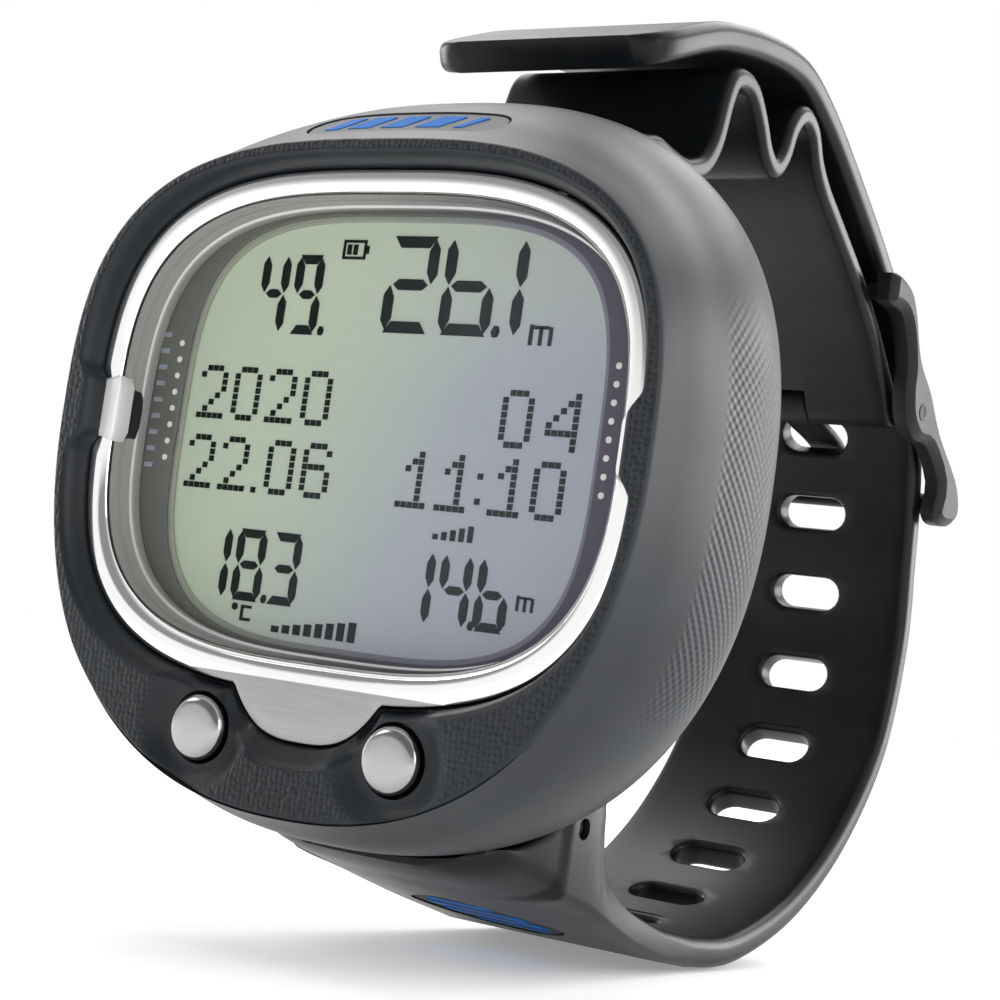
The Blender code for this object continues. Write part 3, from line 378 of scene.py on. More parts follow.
@dataclass(frozen=True)
class Moulded:
    """Plastic, board or seal: a base colour with mottling and a fine skin."""

    name: str
    colour: Colour
    roughness: float = 0.45
    mottle: float = 0.15
    size: float = 1.2
    relief: float = 0.02
    metallic: float = 0.0
    coat: float = 0.0
    glow: float = 0.0
    gloss: float = 0.5

    def material(self) -> bpy.types.Material:
        """Build the material.

        Returns:
            The new material.
        """
        recipe = Recipe(self.name)
        cloud = recipe.noise(self.size * 4, 3.0)
        skin = recipe.noise(self.size * 0.15, 2.0)
        dark = tuple(c * (1 - self.mottle) for c in self.colour)
        recipe.set(Base_Color=recipe.mix(cloud, dark, self.colour), Metallic=self.metallic,
                   Roughness=self.roughness + (cloud - 0.5) * 0.1, Coat_Weight=self.coat)
        recipe.shader.inputs["Specular IOR Level"].default_value = self.gloss
        if self.glow:
            recipe.set(Emission_Color=self.colour, Emission_Strength=self.glow)
        recipe.bump(skin, self.relief)
        return recipe.material


@dataclass(frozen=True)
class PrintWithPaintedLight:
    """A printed or liquid crystal surface whose tone changes from 9 to 3 o'clock and with height; these
    changes are painted light and shade, not the surface's own colour.
    """

    name: str
    left: Colour
    right: Colour
    top: Colour | None = None
    roughness: float = 0.5
    glow: float = 0.0
    middle: float = 0.0
    reach: float = 14.0
    gloss: float = 0.2

    def material(self) -> bpy.types.Material:
        """Build the material.

        Returns:
            The new material.
        """
        recipe = Recipe(self.name)
        # Painted light and shade: the tone shifts from 9 o'clock to 3 o'clock.
        across = recipe.ramp(recipe.axis("X") + recipe.axis("Z") * -0.35, self.middle - self.reach,
                             self.middle + self.reach)
        tone = recipe.mix(across, self.left, self.right)
        # Painted light: the tone is blended towards a lighter colour higher up.
        if self.top:
            tone = recipe.mix(recipe.ramp(recipe.axis("Z"), 2.0, 20.0) * 0.5, tone, self.top)
        speck = recipe.noise(0.2, 2.0)
        recipe.set(Base_Color=tone, Roughness=self.roughness + (speck - 0.5) * 0.08)
        recipe.shader.inputs["Specular IOR Level"].default_value = self.gloss
        # Painted light: the surface glows by emission, though no lamp lights it.
        if self.glow:
            recipe.set(Emission_Color=tone, Emission_Strength=self.glow)
        recipe.bump(speck, 0.004)
        return recipe.material


@dataclass(frozen=True)
class Clear:
    """Clear moulded or polished window material."""

    name: str
    colour: Colour = (0.9, 0.93, 0.92)
    alpha: float = 0.12
    roughness: float = 0.03

    def material(self) -> bpy.types.Material:
        """Build the material.

        Returns:
            The new material.
        """
        recipe = Recipe(self.name)
        smear = recipe.noise(7.0, 2.0)
        recipe.set(Base_Color=self.colour, Alpha=self.alpha,
                   Roughness=self.roughness + (smear - 0.5) * 0.02, IOR=1.5)
        recipe.material.surface_render_method = "BLENDED"
        return recipe.material


class Palette(Enum):
    """Every finish on the computer."""

    CASE = Rubber("case_rubber", (0.0120, 0.0150, 0.0185), (0.020, 0.0245, 0.0295), 0.42, grained=True,
                  gloss=0.30)
    STRAP = Rubber("strap_rubber", (0.0042, 0.0056, 0.0070), (0.0070, 0.0088, 0.0106), 0.36, gloss=0.20)
    BUCKLE = Moulded("buckle_plastic", (0.010, 0.011, 0.013), 0.50, relief=0.012, gloss=0.22)
    POLISHED = Steel("polished_steel", (0.93, 0.93, 0.925), 0.08, satin_below=-21.25)
    # Painted shade: the buttons' polished steel is darkened to stand for the darker reflections on them.
    BUTTON = Steel("button_steel", (0.40, 0.40, 0.395), 0.18)
    PIN = Steel("pin_steel", (0.6, 0.6, 0.6), 0.25, brushed=0.4)
    LENS = Clear("lens_clear", (0.05, 0.055, 0.05), 0.05)
    # Painted highlight: the clear clip is made nearly opaque white for the glare on it.
    CLIP_PAINTED_HIGHLIGHT = Clear("clip_clear_painted_highlight", (0.95, 0.95, 0.95), 0.72, 0.12)
    # Painted light and shade: the display finishes below change tone from 9 to 3 o'clock across the window.
    WALL = PrintWithPaintedLight("lens_side", (0.36, 0.36, 0.345), (0.085, 0.08, 0.095), roughness=0.2)
    # Painted highlight: the bright line at the foot of the lens wall.
    GLINT = Moulded("lens_glint", (0.75, 0.75, 0.74), 0.2)
    MASK = PrintWithPaintedLight("mask_print", (0.150, 0.156, 0.136), (0.105, 0.098, 0.130), roughness=0.42)
    # Painted light: the liquid crystal glows though nothing lights it.
    LCD = PrintWithPaintedLight("lcd_glass", (0.45, 0.53, 0.41), (0.365, 0.392, 0.455), top=(0.50, 0.57, 0.44),
                roughness=0.35, glow=0.14)
    # Painted highlight: the pale border stands for light on the edge of the window.
    BORDER_PAINTED_HIGHLIGHT = PrintWithPaintedLight("lcd_border_painted_highlight", (0.33, 0.355, 0.29), (0.22, 0.22, 0.28), roughness=0.3)
    INK = PrintWithPaintedLight("segment_ink", (0.003, 0.007, 0.005), (0.046, 0.052, 0.058), roughness=0.5, gloss=0.05)
    DOTS = Moulded("white_print", (0.95, 0.95, 0.93), 0.4)
    TICKS = Moulded("blue_grey_print", (0.36, 0.40, 0.48), 0.4)
    # The real seal under the ring, and also the notch plate of painted shade.
    JOINT_AND_NOTCH_SHADE = Moulded("black_joint_and_notch_shade", (0.004, 0.004, 0.0045), 0.5)
    BLUE = Moulded("blue_print", (0.002, 0.150, 0.56), 0.6, mottle=0.1, gloss=0.1)
    SILVER_PRINT = Moulded("silver_print", (0.13, 0.135, 0.14), 0.5, gloss=0.15)
    BACK = Moulded("back_plastic", (0.014, 0.015, 0.0165), 0.42, relief=0.03)
    SEAL = Moulded("seal_rubber", (0.006, 0.006, 0.006), 0.7)
    WHITE = Moulded("white_plastic", (0.78, 0.78, 0.76), 0.5)
    BOARD = Moulded("board_green", (0.02, 0.16, 0.08), 0.35, mottle=0.35, coat=0.4)
    BRASS = Steel("turned_brass", (0.72, 0.55, 0.28), 0.25, brushed=0.3)
    FLOOR = Moulded("studio_paper", (0.90, 0.90, 0.90), 0.9, mottle=0.01, size=40.0, relief=0.0,
                     glow=0.28)


_made: dict[str, bpy.types.Material] = {}


def material(finish: Palette) -> bpy.types.Material:
    """The material of a finish, built once.

    Args:
        finish: the finish wanted.

    Returns:
        The material.
    """
    if finish.name not in _made:
        _made[finish.name] = finish.value.material()
    return _made[finish.name]


# ---- Mesh helpers ----
Rows = Sequence[Sequence[Point]]


def object_from(name: str, mesh: bpy.types.Mesh, finishes: Sequence[Palette]) -> bpy.types.Object:
    """Link a mesh as an object in the frame and give it its finishes.

    Args:
        name: its name.
        mesh: the mesh.
        finishes: its finishes.

    Returns:
        The new object.
    """
    item = bpy.data.objects.new(name, mesh)
    bpy.context.scene.collection.objects.link(item)
    for finish in finishes:
        mesh.materials.append(material(finish))
    return item


def shade(mesh: bpy.types.Mesh, degrees: float = 35.0) -> None:
    """Smooth a mesh apart from edges sharper than the angle."""
    mesh.shade_smooth()
    mesh.set_sharp_from_angle(angle=math.radians(degrees))


def skin(name: str, rows: Rows, finishes: Sequence[Palette], joined: bool = False,
         degrees: float = 35.0, paint: Callable[[int], int] | None = None) -> bpy.types.Object:
    """Skin through closed rows of equal length.

    Args:
        name: the object's name.
        rows: closed loops of points in dial millimetres.
        finishes: the object's finishes.
        joined: whether the last row meets the first; otherwise both ends are capped.
        degrees: edges sharper than this stay sharp.
        paint: gives a span between rows its finish.

    Returns:
        The new object.
    """
    shape = bmesh.new()
    grid = [[shape.verts.new(metres(point)) for point in row] for row in rows]
    count = len(grid[0])
    spans = list(zip(grid, grid[1:]))
    if joined:
        spans.append((grid[-1], grid[0]))
    for index, (first, second) in enumerate(spans):
        for i in range(count):
            j = (i + 1) % count
            face = shape.faces.new((first[i], first[j], second[j], second[i]))
            face.material_index = paint(index) if paint else 0
    if not joined:
        shape.faces.new(grid[0])
        shape.faces.new(grid[-1])
    bmesh.ops.recalc_face_normals(shape, faces=shape.faces[:])
    mesh = bpy.data.meshes.new(name)
    shape.to_mesh(mesh)
    shape.free()
    shade(mesh, degrees)
    return object_from(name, mesh, finishes)


def prism(name: str, outline: Sequence[Flat], place: Callable[[float, float, float], Point],
          low: float, high: float, finishes: Sequence[Palette]) -> bpy.types.Object:
    """A flat outline given thickness, put in place by a function of its two axes and its depth."""
    rows = [[place(a, b, level) for a, b in outline] for level in (low, high)]
    return skin(name, rows, finishes, degrees=30)


def plain(item: bpy.types.Object) -> bpy.types.Object:
    """Turn an object's evaluated shape into its plain mesh, without modifiers.

    Args:
        item: the object.

    Returns:
        The same object.
    """
    bpy.context.view_layer.update()
    evaluated = item.evaluated_get(bpy.context.evaluated_depsgraph_get())
    mesh = bpy.data.meshes.new_from_object(evaluated)
    item.modifiers.clear()
    item.data = mesh
    return item


def bevelled(item: bpy.types.Object, width: float, segments: int = 3,
             degrees: float = 30.0) -> bpy.types.Object:
    """Round an object's edges by width millimetres.

    Args:
        item: the object.
        width: width in millimetres.
        segments: steps across the rounding.
        degrees: edges sharper than this are rounded.

    Returns:
        The same object.
    """
    modifier = item.modifiers.new("edge", "BEVEL")
    modifier.width = width * MM
    modifier.segments = segments
    modifier.limit_method = "ANGLE"
    modifier.angle_limit = math.radians(degrees)
    modifier.harden_normals = False
    plain(item)
    shade(item.data, 40)
    return item


def cut(item: bpy.types.Object, cutters: Iterable[bpy.types.Object], operation: str = "DIFFERENCE",
        degrees: float = 35.0) -> bpy.types.Object:
    """Apply Booleans one after another and remove their cutters.

    Args:
        item: the object.
        cutters: objects to cut with.
        operation: the Boolean used.
        degrees: edges sharper than this count as sharp.

    Returns:
        The same object.
    """
    for cutter in cutters:
        modifier = item.modifiers.new("cut", "BOOLEAN")
        modifier.operation = operation
        modifier.object = cutter
        modifier.solver = "EXACT"
        plain(item)
        bpy.data.objects.remove(cutter, do_unlink=True)
    shade(item.data, degrees)
    return item


def merged(name: str, items: Sequence[bpy.types.Object]) -> bpy.types.Object:
    """Join objects' meshes into the first one, keeping their finishes.

    Args:
        name: its name.
        items: the objects, in order.

    Returns:
        The joined object.
    """
    shape = bmesh.new()
    slots: list[bpy.types.Material] = []
    for item in items:
        start = len(shape.faces)
        shape.from_mesh(item.data)
        shape.faces.ensure_lookup_table()
        for face in shape.faces[start:]:
            owner = item.data.materials[face.material_index]
            if owner not in slots:
                slots.append(owner)
            face.material_index = slots.index(owner)
    mesh = bpy.data.meshes.new(name)
    shape.to_mesh(mesh)
    shape.free()
    for slot in slots:
        mesh.materials.append(slot)
    for item in items:
        bpy.data.objects.remove(item, do_unlink=True)
    item = bpy.data.objects.new(name, mesh)
    bpy.context.scene.collection.objects.link(item)
    return item


def settle(item: bpy.types.Object, body: str, slot: str, *nodes: str) -> None:
    """Hand a finished piece to the frame and report it.

    Args:
        item: the piece.
        body: the CAD body it moves with.
        slot: the record's material slot; not used.
        nodes: CAD nodes that it stands for.
    """
    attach(item, body)
    if nodes:
        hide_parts(*nodes)
    LOG.info("%s: %d faces on %s", item.name, len(item.data.polygons), body)


def turned(name: str, profile: Sequence[Flat], centre: Flat, finishes: Sequence[Palette],
           steps: int = 64, paint: Callable[[int], int] | None = None) -> bpy.types.Object:
    """A body turned about an axis along Y; profile is (radius, depth), not on the axis at its ends.

    Args:
        name: its name.
        profile: pairs of radius and depth.
        centre: where its axis stands, in X and Z.
        finishes: its finishes.
        steps: points round the circle.
        paint: gives a span its finish.

    Returns:
        The new object.
    """
    rows = []
    for radius, depth in profile:
        rows.append([(centre[0] + radius * math.cos(2 * math.pi * i / steps), depth,
                      centre[1] + radius * math.sin(2 * math.pi * i / steps)) for i in range(steps)])
    return skin(name, rows, finishes, paint=paint, degrees=32)


def rod(name: str, start: Point, end: Point, radius: float, finishes: Sequence[Palette],
        edge: float = 0.15, steps: int = 32) -> bpy.types.Object:
    """A round bar along X with rounded ends.

    Args:
        name: its name.
        start: one end.
        end: the other end.
        radius: the radius.
        finishes: its finishes.
        edge: rounding of the ends.
        steps: points round it.

    Returns:
        The new object.
    """
    rows = []
    sign = 1 if end[0] > start[0] else -1
    for x, r in ((start[0], radius - edge), (start[0] + sign * edge, radius),
                 (end[0] - sign * edge, radius), (end[0], radius - edge)):
        rows.append([(x, start[1] + r * math.cos(2 * math.pi * i / steps),
                      start[2] + r * math.sin(2 * math.pi * i / steps)) for i in range(steps)])
    return skin(name, rows, finishes)


def ease(value: float) -> float:
    """Smooth step from 0 to 1."""
    value = min(max(value, 0.0), 1.0)
    return value * value * (3 - 2 * value)


def smooth_path(points: Sequence[Sequence[float]], per_span: int) -> list[tuple[float, ...]]:
    """A Catmull-Rom path through every point.

    Args:
        points: places to pass through.
        per_span: steps between two places.

    Returns:
        Points along the path.
    """
    padded = [points[0], *points, points[-1]]
    path = []
    for a, b, c, d in zip(padded, padded[1:], padded[2:], padded[3:]):
        for step in range(per_span):
            t = step / per_span
            path.append(tuple(0.5 * (2 * q + (r - p) * t + (2 * p - 5 * q + 4 * r - s) * t * t
                                     + (3 * q - p - 3 * r + s) * t ** 3)
                              for p, q, r, s in zip(a, b, c, d)))
    path.append(tuple(points[-1]))
    return path


# ---- Outlines of the face ----
@dataclass(frozen=True)
class Outline:
    """A rounded outline of the face: half width, reach up and down, squareness of each half."""

    half_width: float
    top: float
    bottom: float
    power: float
    low_power: float = 0.0

    def grown(self, by: float) -> "Outline":
        """The outline moved outwards."""
        return Outline(self.half_width + by, self.top + by, self.bottom + by, self.power, self.low_power)

    def toward(self, other: "Outline", share: float) -> "Outline":
        """A blend with another outline."""
        return Outline(*(a + (b - a) * share for a, b in zip(self.sizes(), other.sizes())))

    def sizes(self) -> tuple[float, ...]:
        """All sizes, with the lower half's squareness filled in."""
        return (self.half_width, self.top, self.bottom, self.power, self.low_power or self.power)

    def at(self, angle: float) -> Flat:
        """The outline's point at an angle about the display's middle.

        Args:
            angle: angle in radians.

        Returns:
            The point.
        """
        across, up = math.cos(angle), math.sin(angle)
        half, top, bottom, power, low = self.sizes()
        reach, squareness = (top, power) if up > 0 else (bottom, low)
        radius = ((abs(across) / half) ** squareness + (abs(up) / reach) ** squareness) ** (-1 / squareness)
        return radius * across, radius * up


@dataclass(frozen=True)
class Notches:
    """The bezel's tab at 6 o'clock and the lip's bumps at 3 and 9 o'clock, as changes to an outline."""

    tab: float = 3.9
    tab_half: float = 7.5
    bump: float = 1.15
    bump_half: float = 3.9

    def apply(self, x: float, z: float) -> Flat:
        """Move one outline point.

        Args:
            x: place to 3 o'clock.
            z: place to 12 o'clock.

        Returns:
            The moved point.
        """
        share = min(abs(x) / self.tab_half, 1.0)
        if z < 0:
            z -= self.tab * (1 - share ** 3)
        side = min(abs(z) / self.bump_half, 1.0)
        x -= math.copysign(self.bump * (1 - ease((side - 0.5) / 0.5)), x)
        return x, z


NO_NOTCH = Notches(0.0, 1.0, 0.0, 1.0)
SEAT_NOTCH = Notches()


def face_loop(outline: Outline, depth: float, notches: Notches = NO_NOTCH, count: int = 480) -> list[Point]:
    """Points of an outline at one depth.

    Args:
        outline: the outline.
        depth: how far into the case.
        notches: changes to the outline.
        count: points in the loop.

    Returns:
        The loop.
    """
    loop = []
    for i in range(count):
        x, z = notches.apply(*outline.at(2 * math.pi * (i + 0.5) / count))
        loop.append((x, depth, z))
    return loop


@dataclass(frozen=True)
class FaceSizes:
    """Outlines that the face's pieces share."""

    window: Outline = Outline(21.7, 18.6, 18.6, 3.6)
    bezel_inner: Outline = Outline(25.65, 19.6, 19.6, 3.15)
    bezel_outer: Outline = Outline(27.5, 21.55, 22.3, 3.05)
    lip: Outline = Outline(29.5, 23.4, 32.0, 2.9, 2.3)
    seat_gap: float = 0.14
    button_x: float = 9.9
    button_z: float = -26.2


FACE = FaceSizes()


# ---- Case ----
@dataclass
class CaseBody:
    """The rubber-coated case: chamfer, grained front land with button scoops, side wall and rear rim."""

    lip_rise: float = 2.1
    chamfer: float = 1.0
    scoop_radius: float = 6.0
    scoop_floor: float = 3.4
    scoop_depth: float = 1.15
    bore_radius: float = 3.05
    bore_floor: float = 1.6
    wall: tuple[tuple[float, ...], ...] = (
        (0.5, 30.2, 25.0, 32.9), (4.0, 30.9, 27.4, 34.0), (8.0, 31.5, 29.4, 34.5),
        (12.0, 31.7, 30.5, 34.4), (15.5, 31.25, 30.2, 33.8), (17.6, 30.5, 29.4, 33.1),
        (18.7, 29.9, 28.75, 32.5), (19.15, 29.3, 28.15, 31.9))
    rows: list[list[Point]] = field(default_factory=list)
    rear_power: float = 2.5
    power_drop: float = 0.4
    power_start: float = -1.7
    power_run: float = 9.0
    marks: list[tuple[float, float]] = field(default_factory=list)

    def add(self, outline: Outline, depth: float, notches: Notches = NO_NOTCH, grain: float = 0.0,
            weave: float = 0.0) -> None:
        """Add one ring of the skin with its grain and weave."""
        self.rows.append(face_loop(outline, depth, notches))
        self.marks.append((grain, weave))

    def front_rings(self) -> None:
        """The bezel seat, the smooth chamfer and the grained land up to the lip's edge."""
        seat = FACE.bezel_outer.grown(FACE.seat_gap)
        self.add(seat, 2.6, SEAT_NOTCH)
        self.add(seat, 0.35, SEAT_NOTCH)
        self.add(seat.grown(0.05), 0.12, SEAT_NOTCH)
        for share in (0.15, 0.4, 0.65, 0.85, 1.0):
            wide = Notches(3.9 + 0.9 * share, 7.5 + 0.8 * share, 1.15, 3.9 + 0.5 * share)
            rise = math.sin(share * math.pi / 2)
            self.add(seat.grown(0.05 + self.chamfer * share), 0.1 - (self.lip_rise + 0.02) * rise, wide)
        inner = seat.grown(0.05 + self.chamfer)
        steps = 22
        for step in range(1, steps + 1):
            share = step / steps
            fade = (1 - share) ** 1.5
            fading = Notches(4.8 * fade, 8.3, 1.15 * (1 - share), 4.4)
            grain = ease(share * steps / 2) * ease((1 - share) * steps / 2 + 0.5)
            self.add(inner.toward(FACE.lip, share), -self.lip_rise + 0.05 * share, fading, grain)
        self.add(FACE.lip.grown(0.16), -self.lip_rise + 0.16)
        self.add(FACE.lip.grown(0.27), -self.lip_rise + 0.42)

    def squareness(self, depth: float) -> float:
        """Squareness of the side wall's upper half, which eases off towards the rear."""
        return FACE.lip.power - self.power_drop * ease((depth - self.power_start) / self.power_run)

    def wall_rings(self) -> None:
        """The side wall with its woven band, and the rounded rear rim."""
        start = FACE.lip.grown(0.27)
        points = [(-self.lip_rise + 0.42, start.half_width, start.top, start.bottom), *self.wall]
        for depth, half, top, bottom in smooth_path(points, 5)[1:]:
            outline = Outline(half, top, bottom, self.squareness(depth), FACE.lip.low_power)
            weave = ease((depth - 6.4) / 1.2) * ease((15.4 - depth) / 0.8)
            self.add(outline, depth, weave=weave)
        plate = Outline(27.1, 24.5, 27.0, 2.8)
        self.add(Outline(28.8, 27.6, 31.3, self.rear_power, FACE.lip.low_power), 19.2)
        self.add(plate.grown(0.5), 19.2)
        self.add(plate.grown(0.1), 18.95)
        self.add(plate, 18.2)
        self.add(plate, 16.9)

    def scoop(self, x: float, z: float) -> float:
        """How far the front is pressed back round the buttons at one place.

        Args:
            x: place to 3 o'clock.
            z: place to 12 o'clock.

        Returns:
            Depth in millimetres.
        """
        reach = min(math.hypot(x - side * FACE.button_x, z - FACE.button_z) for side in (-1, 1))
        share = 1 - ease((reach - self.scoop_floor) / (self.scoop_radius - self.scoop_floor))
        return self.scoop_depth * share

    def build(self) -> bpy.types.Object:
        """Make the case's mesh with its bores and its surface attributes.

        Returns:
            The finished piece.
        """
        self.front_rings()
        front = len(self.rows)
        self.wall_rings()
        for row in self.rows[3:front]:
            for i, (x, y, z) in enumerate(row):
                low = ease((-z - 20.0) / 8.0)
                pressed = self.scoop(x, z) * (1 if y < -0.2 else max(0.0, -y * 5))
                row[i] = (x, y + pressed + 0.5 * low * (y < -1), z)
        case = skin("case_body", self.rows, [Palette.CASE], joined=True, degrees=50)
        self.paint(case.data)
        bores = [turned(f"bore_{side}", [(0.05, -6.0), (self.bore_radius + 0.3, -6.0),
                                         (self.bore_radius + 0.3, -1.12), (self.bore_radius, -0.72),
                                         (self.bore_radius, self.bore_floor),
                                         (0.05, self.bore_floor)],
                        (side * FACE.button_x, FACE.button_z), [Palette.CASE], steps=72)
                 for side in (-1, 1)]
        return cut(case, bores, degrees=42)

    def paint(self, mesh: bpy.types.Mesh) -> None:
        """Store grain, weave and surface distances on the mesh's points.

        Args:
            mesh: the case's mesh before its bores are cut.
        """
        values: dict[str, list[float]] = {"grain": [], "weave": [], "around": [], "across": []}
        count = len(self.rows[0])
        widest = face_loop(self.outline_at(12.0), 12.0)
        start = count * 3 // 4
        around = {start: 0.0}
        for step in range(1, count):
            here, before = (start + step) % count, (start + step - 1) % count
            around[here] = around[before] + math.dist(widest[here], widest[before])
        for r, row in enumerate(self.rows):
            grain, weave = self.marks[r]
            for i, (x, y, z) in enumerate(row):
                side = ease((abs(x) - 19.0) / 6.0) * ease((22.0 + z) / 6.0) * ease((15.0 - z) / 9.0)
                scooped = 1 - ease(self.scoop(x, z) / 0.3) if z < -15 else 1.0
                values["grain"].append(grain * scooped)
                values["weave"].append(weave * side)
                values["around"].append(around[i])
                values["across"].append(y)
        for name, numbers in values.items():
            mesh.attributes.new(name, "FLOAT", "POINT")
            mesh.attributes[name].data.foreach_set("value", numbers)

    def outline_at(self, depth: float) -> Outline:
        """The side wall's outline at one depth.

        Args:
            depth: how far into the case.

        Returns:
            The outline.
        """
        stations = [(-1.68, 29.77, 23.67, 32.27), *self.wall]
        for (y0, *first), (y1, *second) in zip(stations, stations[1:]):
            if depth <= y1:
                share = (depth - y0) / (y1 - y0)
                half, top, bottom = (a + (b - a) * share for a, b in zip(first, second))
                return Outline(half, top, bottom, self.squareness(depth), FACE.lip.low_power)
        return Outline(*stations[-1][1:], self.rear_power, FACE.lip.low_power)

    def top_at(self, x: float, depth: float, lift: float = 0.0) -> Point:
        """A place over the sloping top, lifted square to the slope.

        Args:
            x: place to 3 o'clock.
            depth: how far into the case.
            lift: distance off the surface.

        Returns:
            The place.
        """
        here, behind = (self.outline_at(depth + d) for d in (-0.4, 0.4))
        heights = [o.top * (1 - (abs(x) / o.half_width) ** o.power) ** (1 / o.power) for o in (here, behind)]
        slope = math.atan2(heights[1] - heights[0], 0.8)
        return x, depth - lift * math.sin(slope), sum(heights) / 2 + lift * math.cos(slope)


def stadium(half: float, radius: float, steps: int = 12) -> list[Flat]:
    """A bar with round ends, half being half its whole length.

    Args:
        half: half its length.
        radius: radius of its round ends.
        steps: steps round each end.

    Returns:
        Its corners.
    """
    points = []
    for side in (1, -1):
        for i in range(steps + 1):
            turn = math.pi / 2
            angle = side * turn * (-1 + 2 * i / steps) if side > 0 else turn + math.pi * i / steps
            points.append((side * (half - radius) + radius * math.cos(angle), radius * math.sin(angle)))
    return points


def lug(name: str, pin: Flat, root: float = 17.8, half: float = 8.2, radius: float = 2.3) -> bpy.types.Object:
    """A rounded tongue that carries a strap pin behind the case's rim.

    Args:
        name: its name.
        pin: depth and height of the pin.
        root: depth at which it leaves the case.
        half: half its width.
        radius: radius of its rounded end.

    Returns:
        The lug.
    """
    rows = []
    for x, inset in ((-half, 0.3), (-half + 0.3, 0.0), (half - 0.3, 0.0), (half, 0.3)):
        r = radius - inset
        row = [(x, root, pin[1] + r), (x, root, pin[1] - r)]
        for i in range(25):
            angle = -math.pi / 2 + math.pi * i / 24
            row.append((x, pin[0] + r * math.cos(angle), pin[1] + r * math.sin(angle)))
        rows.append(row)
    return skin(name, rows, [Palette.BACK])


@dataclass
class TopInlay:
    """Light plate with slanted blue bars, let into the case's sloping top."""

    case: CaseBody
    half: float = 9.9
    reach: float = 2.35
    middle: float = 2.3

    def over(self, outline: Sequence[Flat], low: float, high: float, name: str,
             finishes: Sequence[Palette]) -> bpy.types.Object:
        """A plate that follows the top's slope."""
        return prism(name, outline, lambda a, b, level: self.case.top_at(a, self.middle + b * 0.83, level),
                     low, high, finishes)

    def dense(self, outline: Sequence[Flat]) -> list[Flat]:
        """Points added along straight sides so that a plate can bend.

        Args:
            outline: the outline.

        Returns:
            The outline with more points.
        """
        points = []
        for (x0, y0), (x1, y1) in zip(outline, [*outline[1:], outline[0]]):
            steps = max(1, round(abs(x1 - x0) / 0.8))
            points += [(x0 + (x1 - x0) * i / steps, y0 + (y1 - y0) * i / steps) for i in range(steps)]
        return points

    def recess(self) -> bpy.types.Object:
        """The cutter of the plate's recess."""
        return self.over(self.dense(stadium(self.half + 0.15, self.reach + 0.15)), -0.45, 1.5,
                         "recess", [Palette.CASE])

    def strips(self, outline_at: Callable[[float], float], low: float, high: float, name: str,
               finishes: Sequence[Palette], start: float, end: float) -> bpy.types.Object:
        """A thin domed plate made of strips across, so that its top follows the slope.

        Args:
            outline_at: half reach of the plate at a place along it.
            low: underside over the surface.
            high: upper side over the surface.
            name: the object's name.
            finishes: its finishes.
            start: first place along X.
            end: last place along X.

        Returns:
            The plate.
        """
        steps = 40
        rows = []
        for i in range(steps + 1):
            x = start + (end - start) * i / steps
            reach = outline_at(x)
            rows.append([self.case.top_at(x, self.middle + b * 0.83, level) for b, level in
                         ((-reach, low), (-reach, high - 0.06), (-reach + 0.06, high), (reach - 0.06, high),
                          (reach, high - 0.06), (reach, low))])
        return skin(name, rows, finishes, degrees=25)

    def build(self) -> bpy.types.Object:
        """Make the plate and its bars.

        Returns:
            The finished piece.
        """
        radius = self.reach
        flat = self.half - radius

        def reach(x: float) -> float:
            """Half reach of the round-ended plate."""
            over = max(abs(x) - flat, 0.0)
            return max(math.sqrt(max(radius * radius - over * over, 0.0)), 0.12)

        pieces = [self.strips(reach, -0.4, -0.1, "plate", [Palette.SILVER_PRINT], -self.half, self.half)]
        for x, width, lean in ((-6.4, 1.5, 1.2), (-3.6, 2.2, 1.2), (-0.2, 2.2, 1.2), (3.4, 2.4, 1.2),
                               (6.5, 0.8, 1.2)):
            shape = [(x - width / 2 - lean / 2, -1.35), (x + width / 2 - lean / 2, -1.35),
                     (x + width / 2 + lean / 2, 1.35), (x - width / 2 + lean / 2, 1.35)]
            pieces.append(self.over(shape, -0.2, -0.04, "bar", [Palette.BLUE]))
        return merged("top_inlay_plate", pieces)


# ---- Bezel and window ----
class BezelRing:
    """The polished ring with its brushed tab and side notches."""

    def build(self) -> bpy.types.Object:
        """Make the ring from loops inside to outside.

        Returns:
            The finished piece.
        """
        inner, outer = FACE.bezel_inner, FACE.bezel_outer
        tab = Notches(3.9, 7.5, 1.15, 3.6)
        rows = [face_loop(inner.grown(0.1), 1.5), face_loop(inner, 1.2), face_loop(inner, 0.5),
                face_loop(inner.grown(0.12), 0.3), face_loop(inner.grown(0.42), 0.07),
                face_loop(inner.grown(0.55), 0.0)]
        for share in (0.35, 0.75):
            rows.append(face_loop(inner.grown(0.55).toward(outer.grown(-0.5), share), -0.02,
                                  Notches(0.5 * share, 7.3, 1.15 * share, 3.6)))
        for share in (0.3, 0.65):
            rows.append(face_loop(outer.grown(-0.5 + 0.2 * share), -0.01,
                                  Notches(0.5 + 3.2 * share, 7.3, 1.15, 3.6)))
        rows += [face_loop(outer.grown(-0.22), 0.04, tab), face_loop(outer.grown(-0.1), 0.1, tab),
                 face_loop(outer, 0.3, tab), face_loop(outer, 1.5, tab)]
        return skin("bezel", rows, [Palette.POLISHED], joined=True, degrees=28)


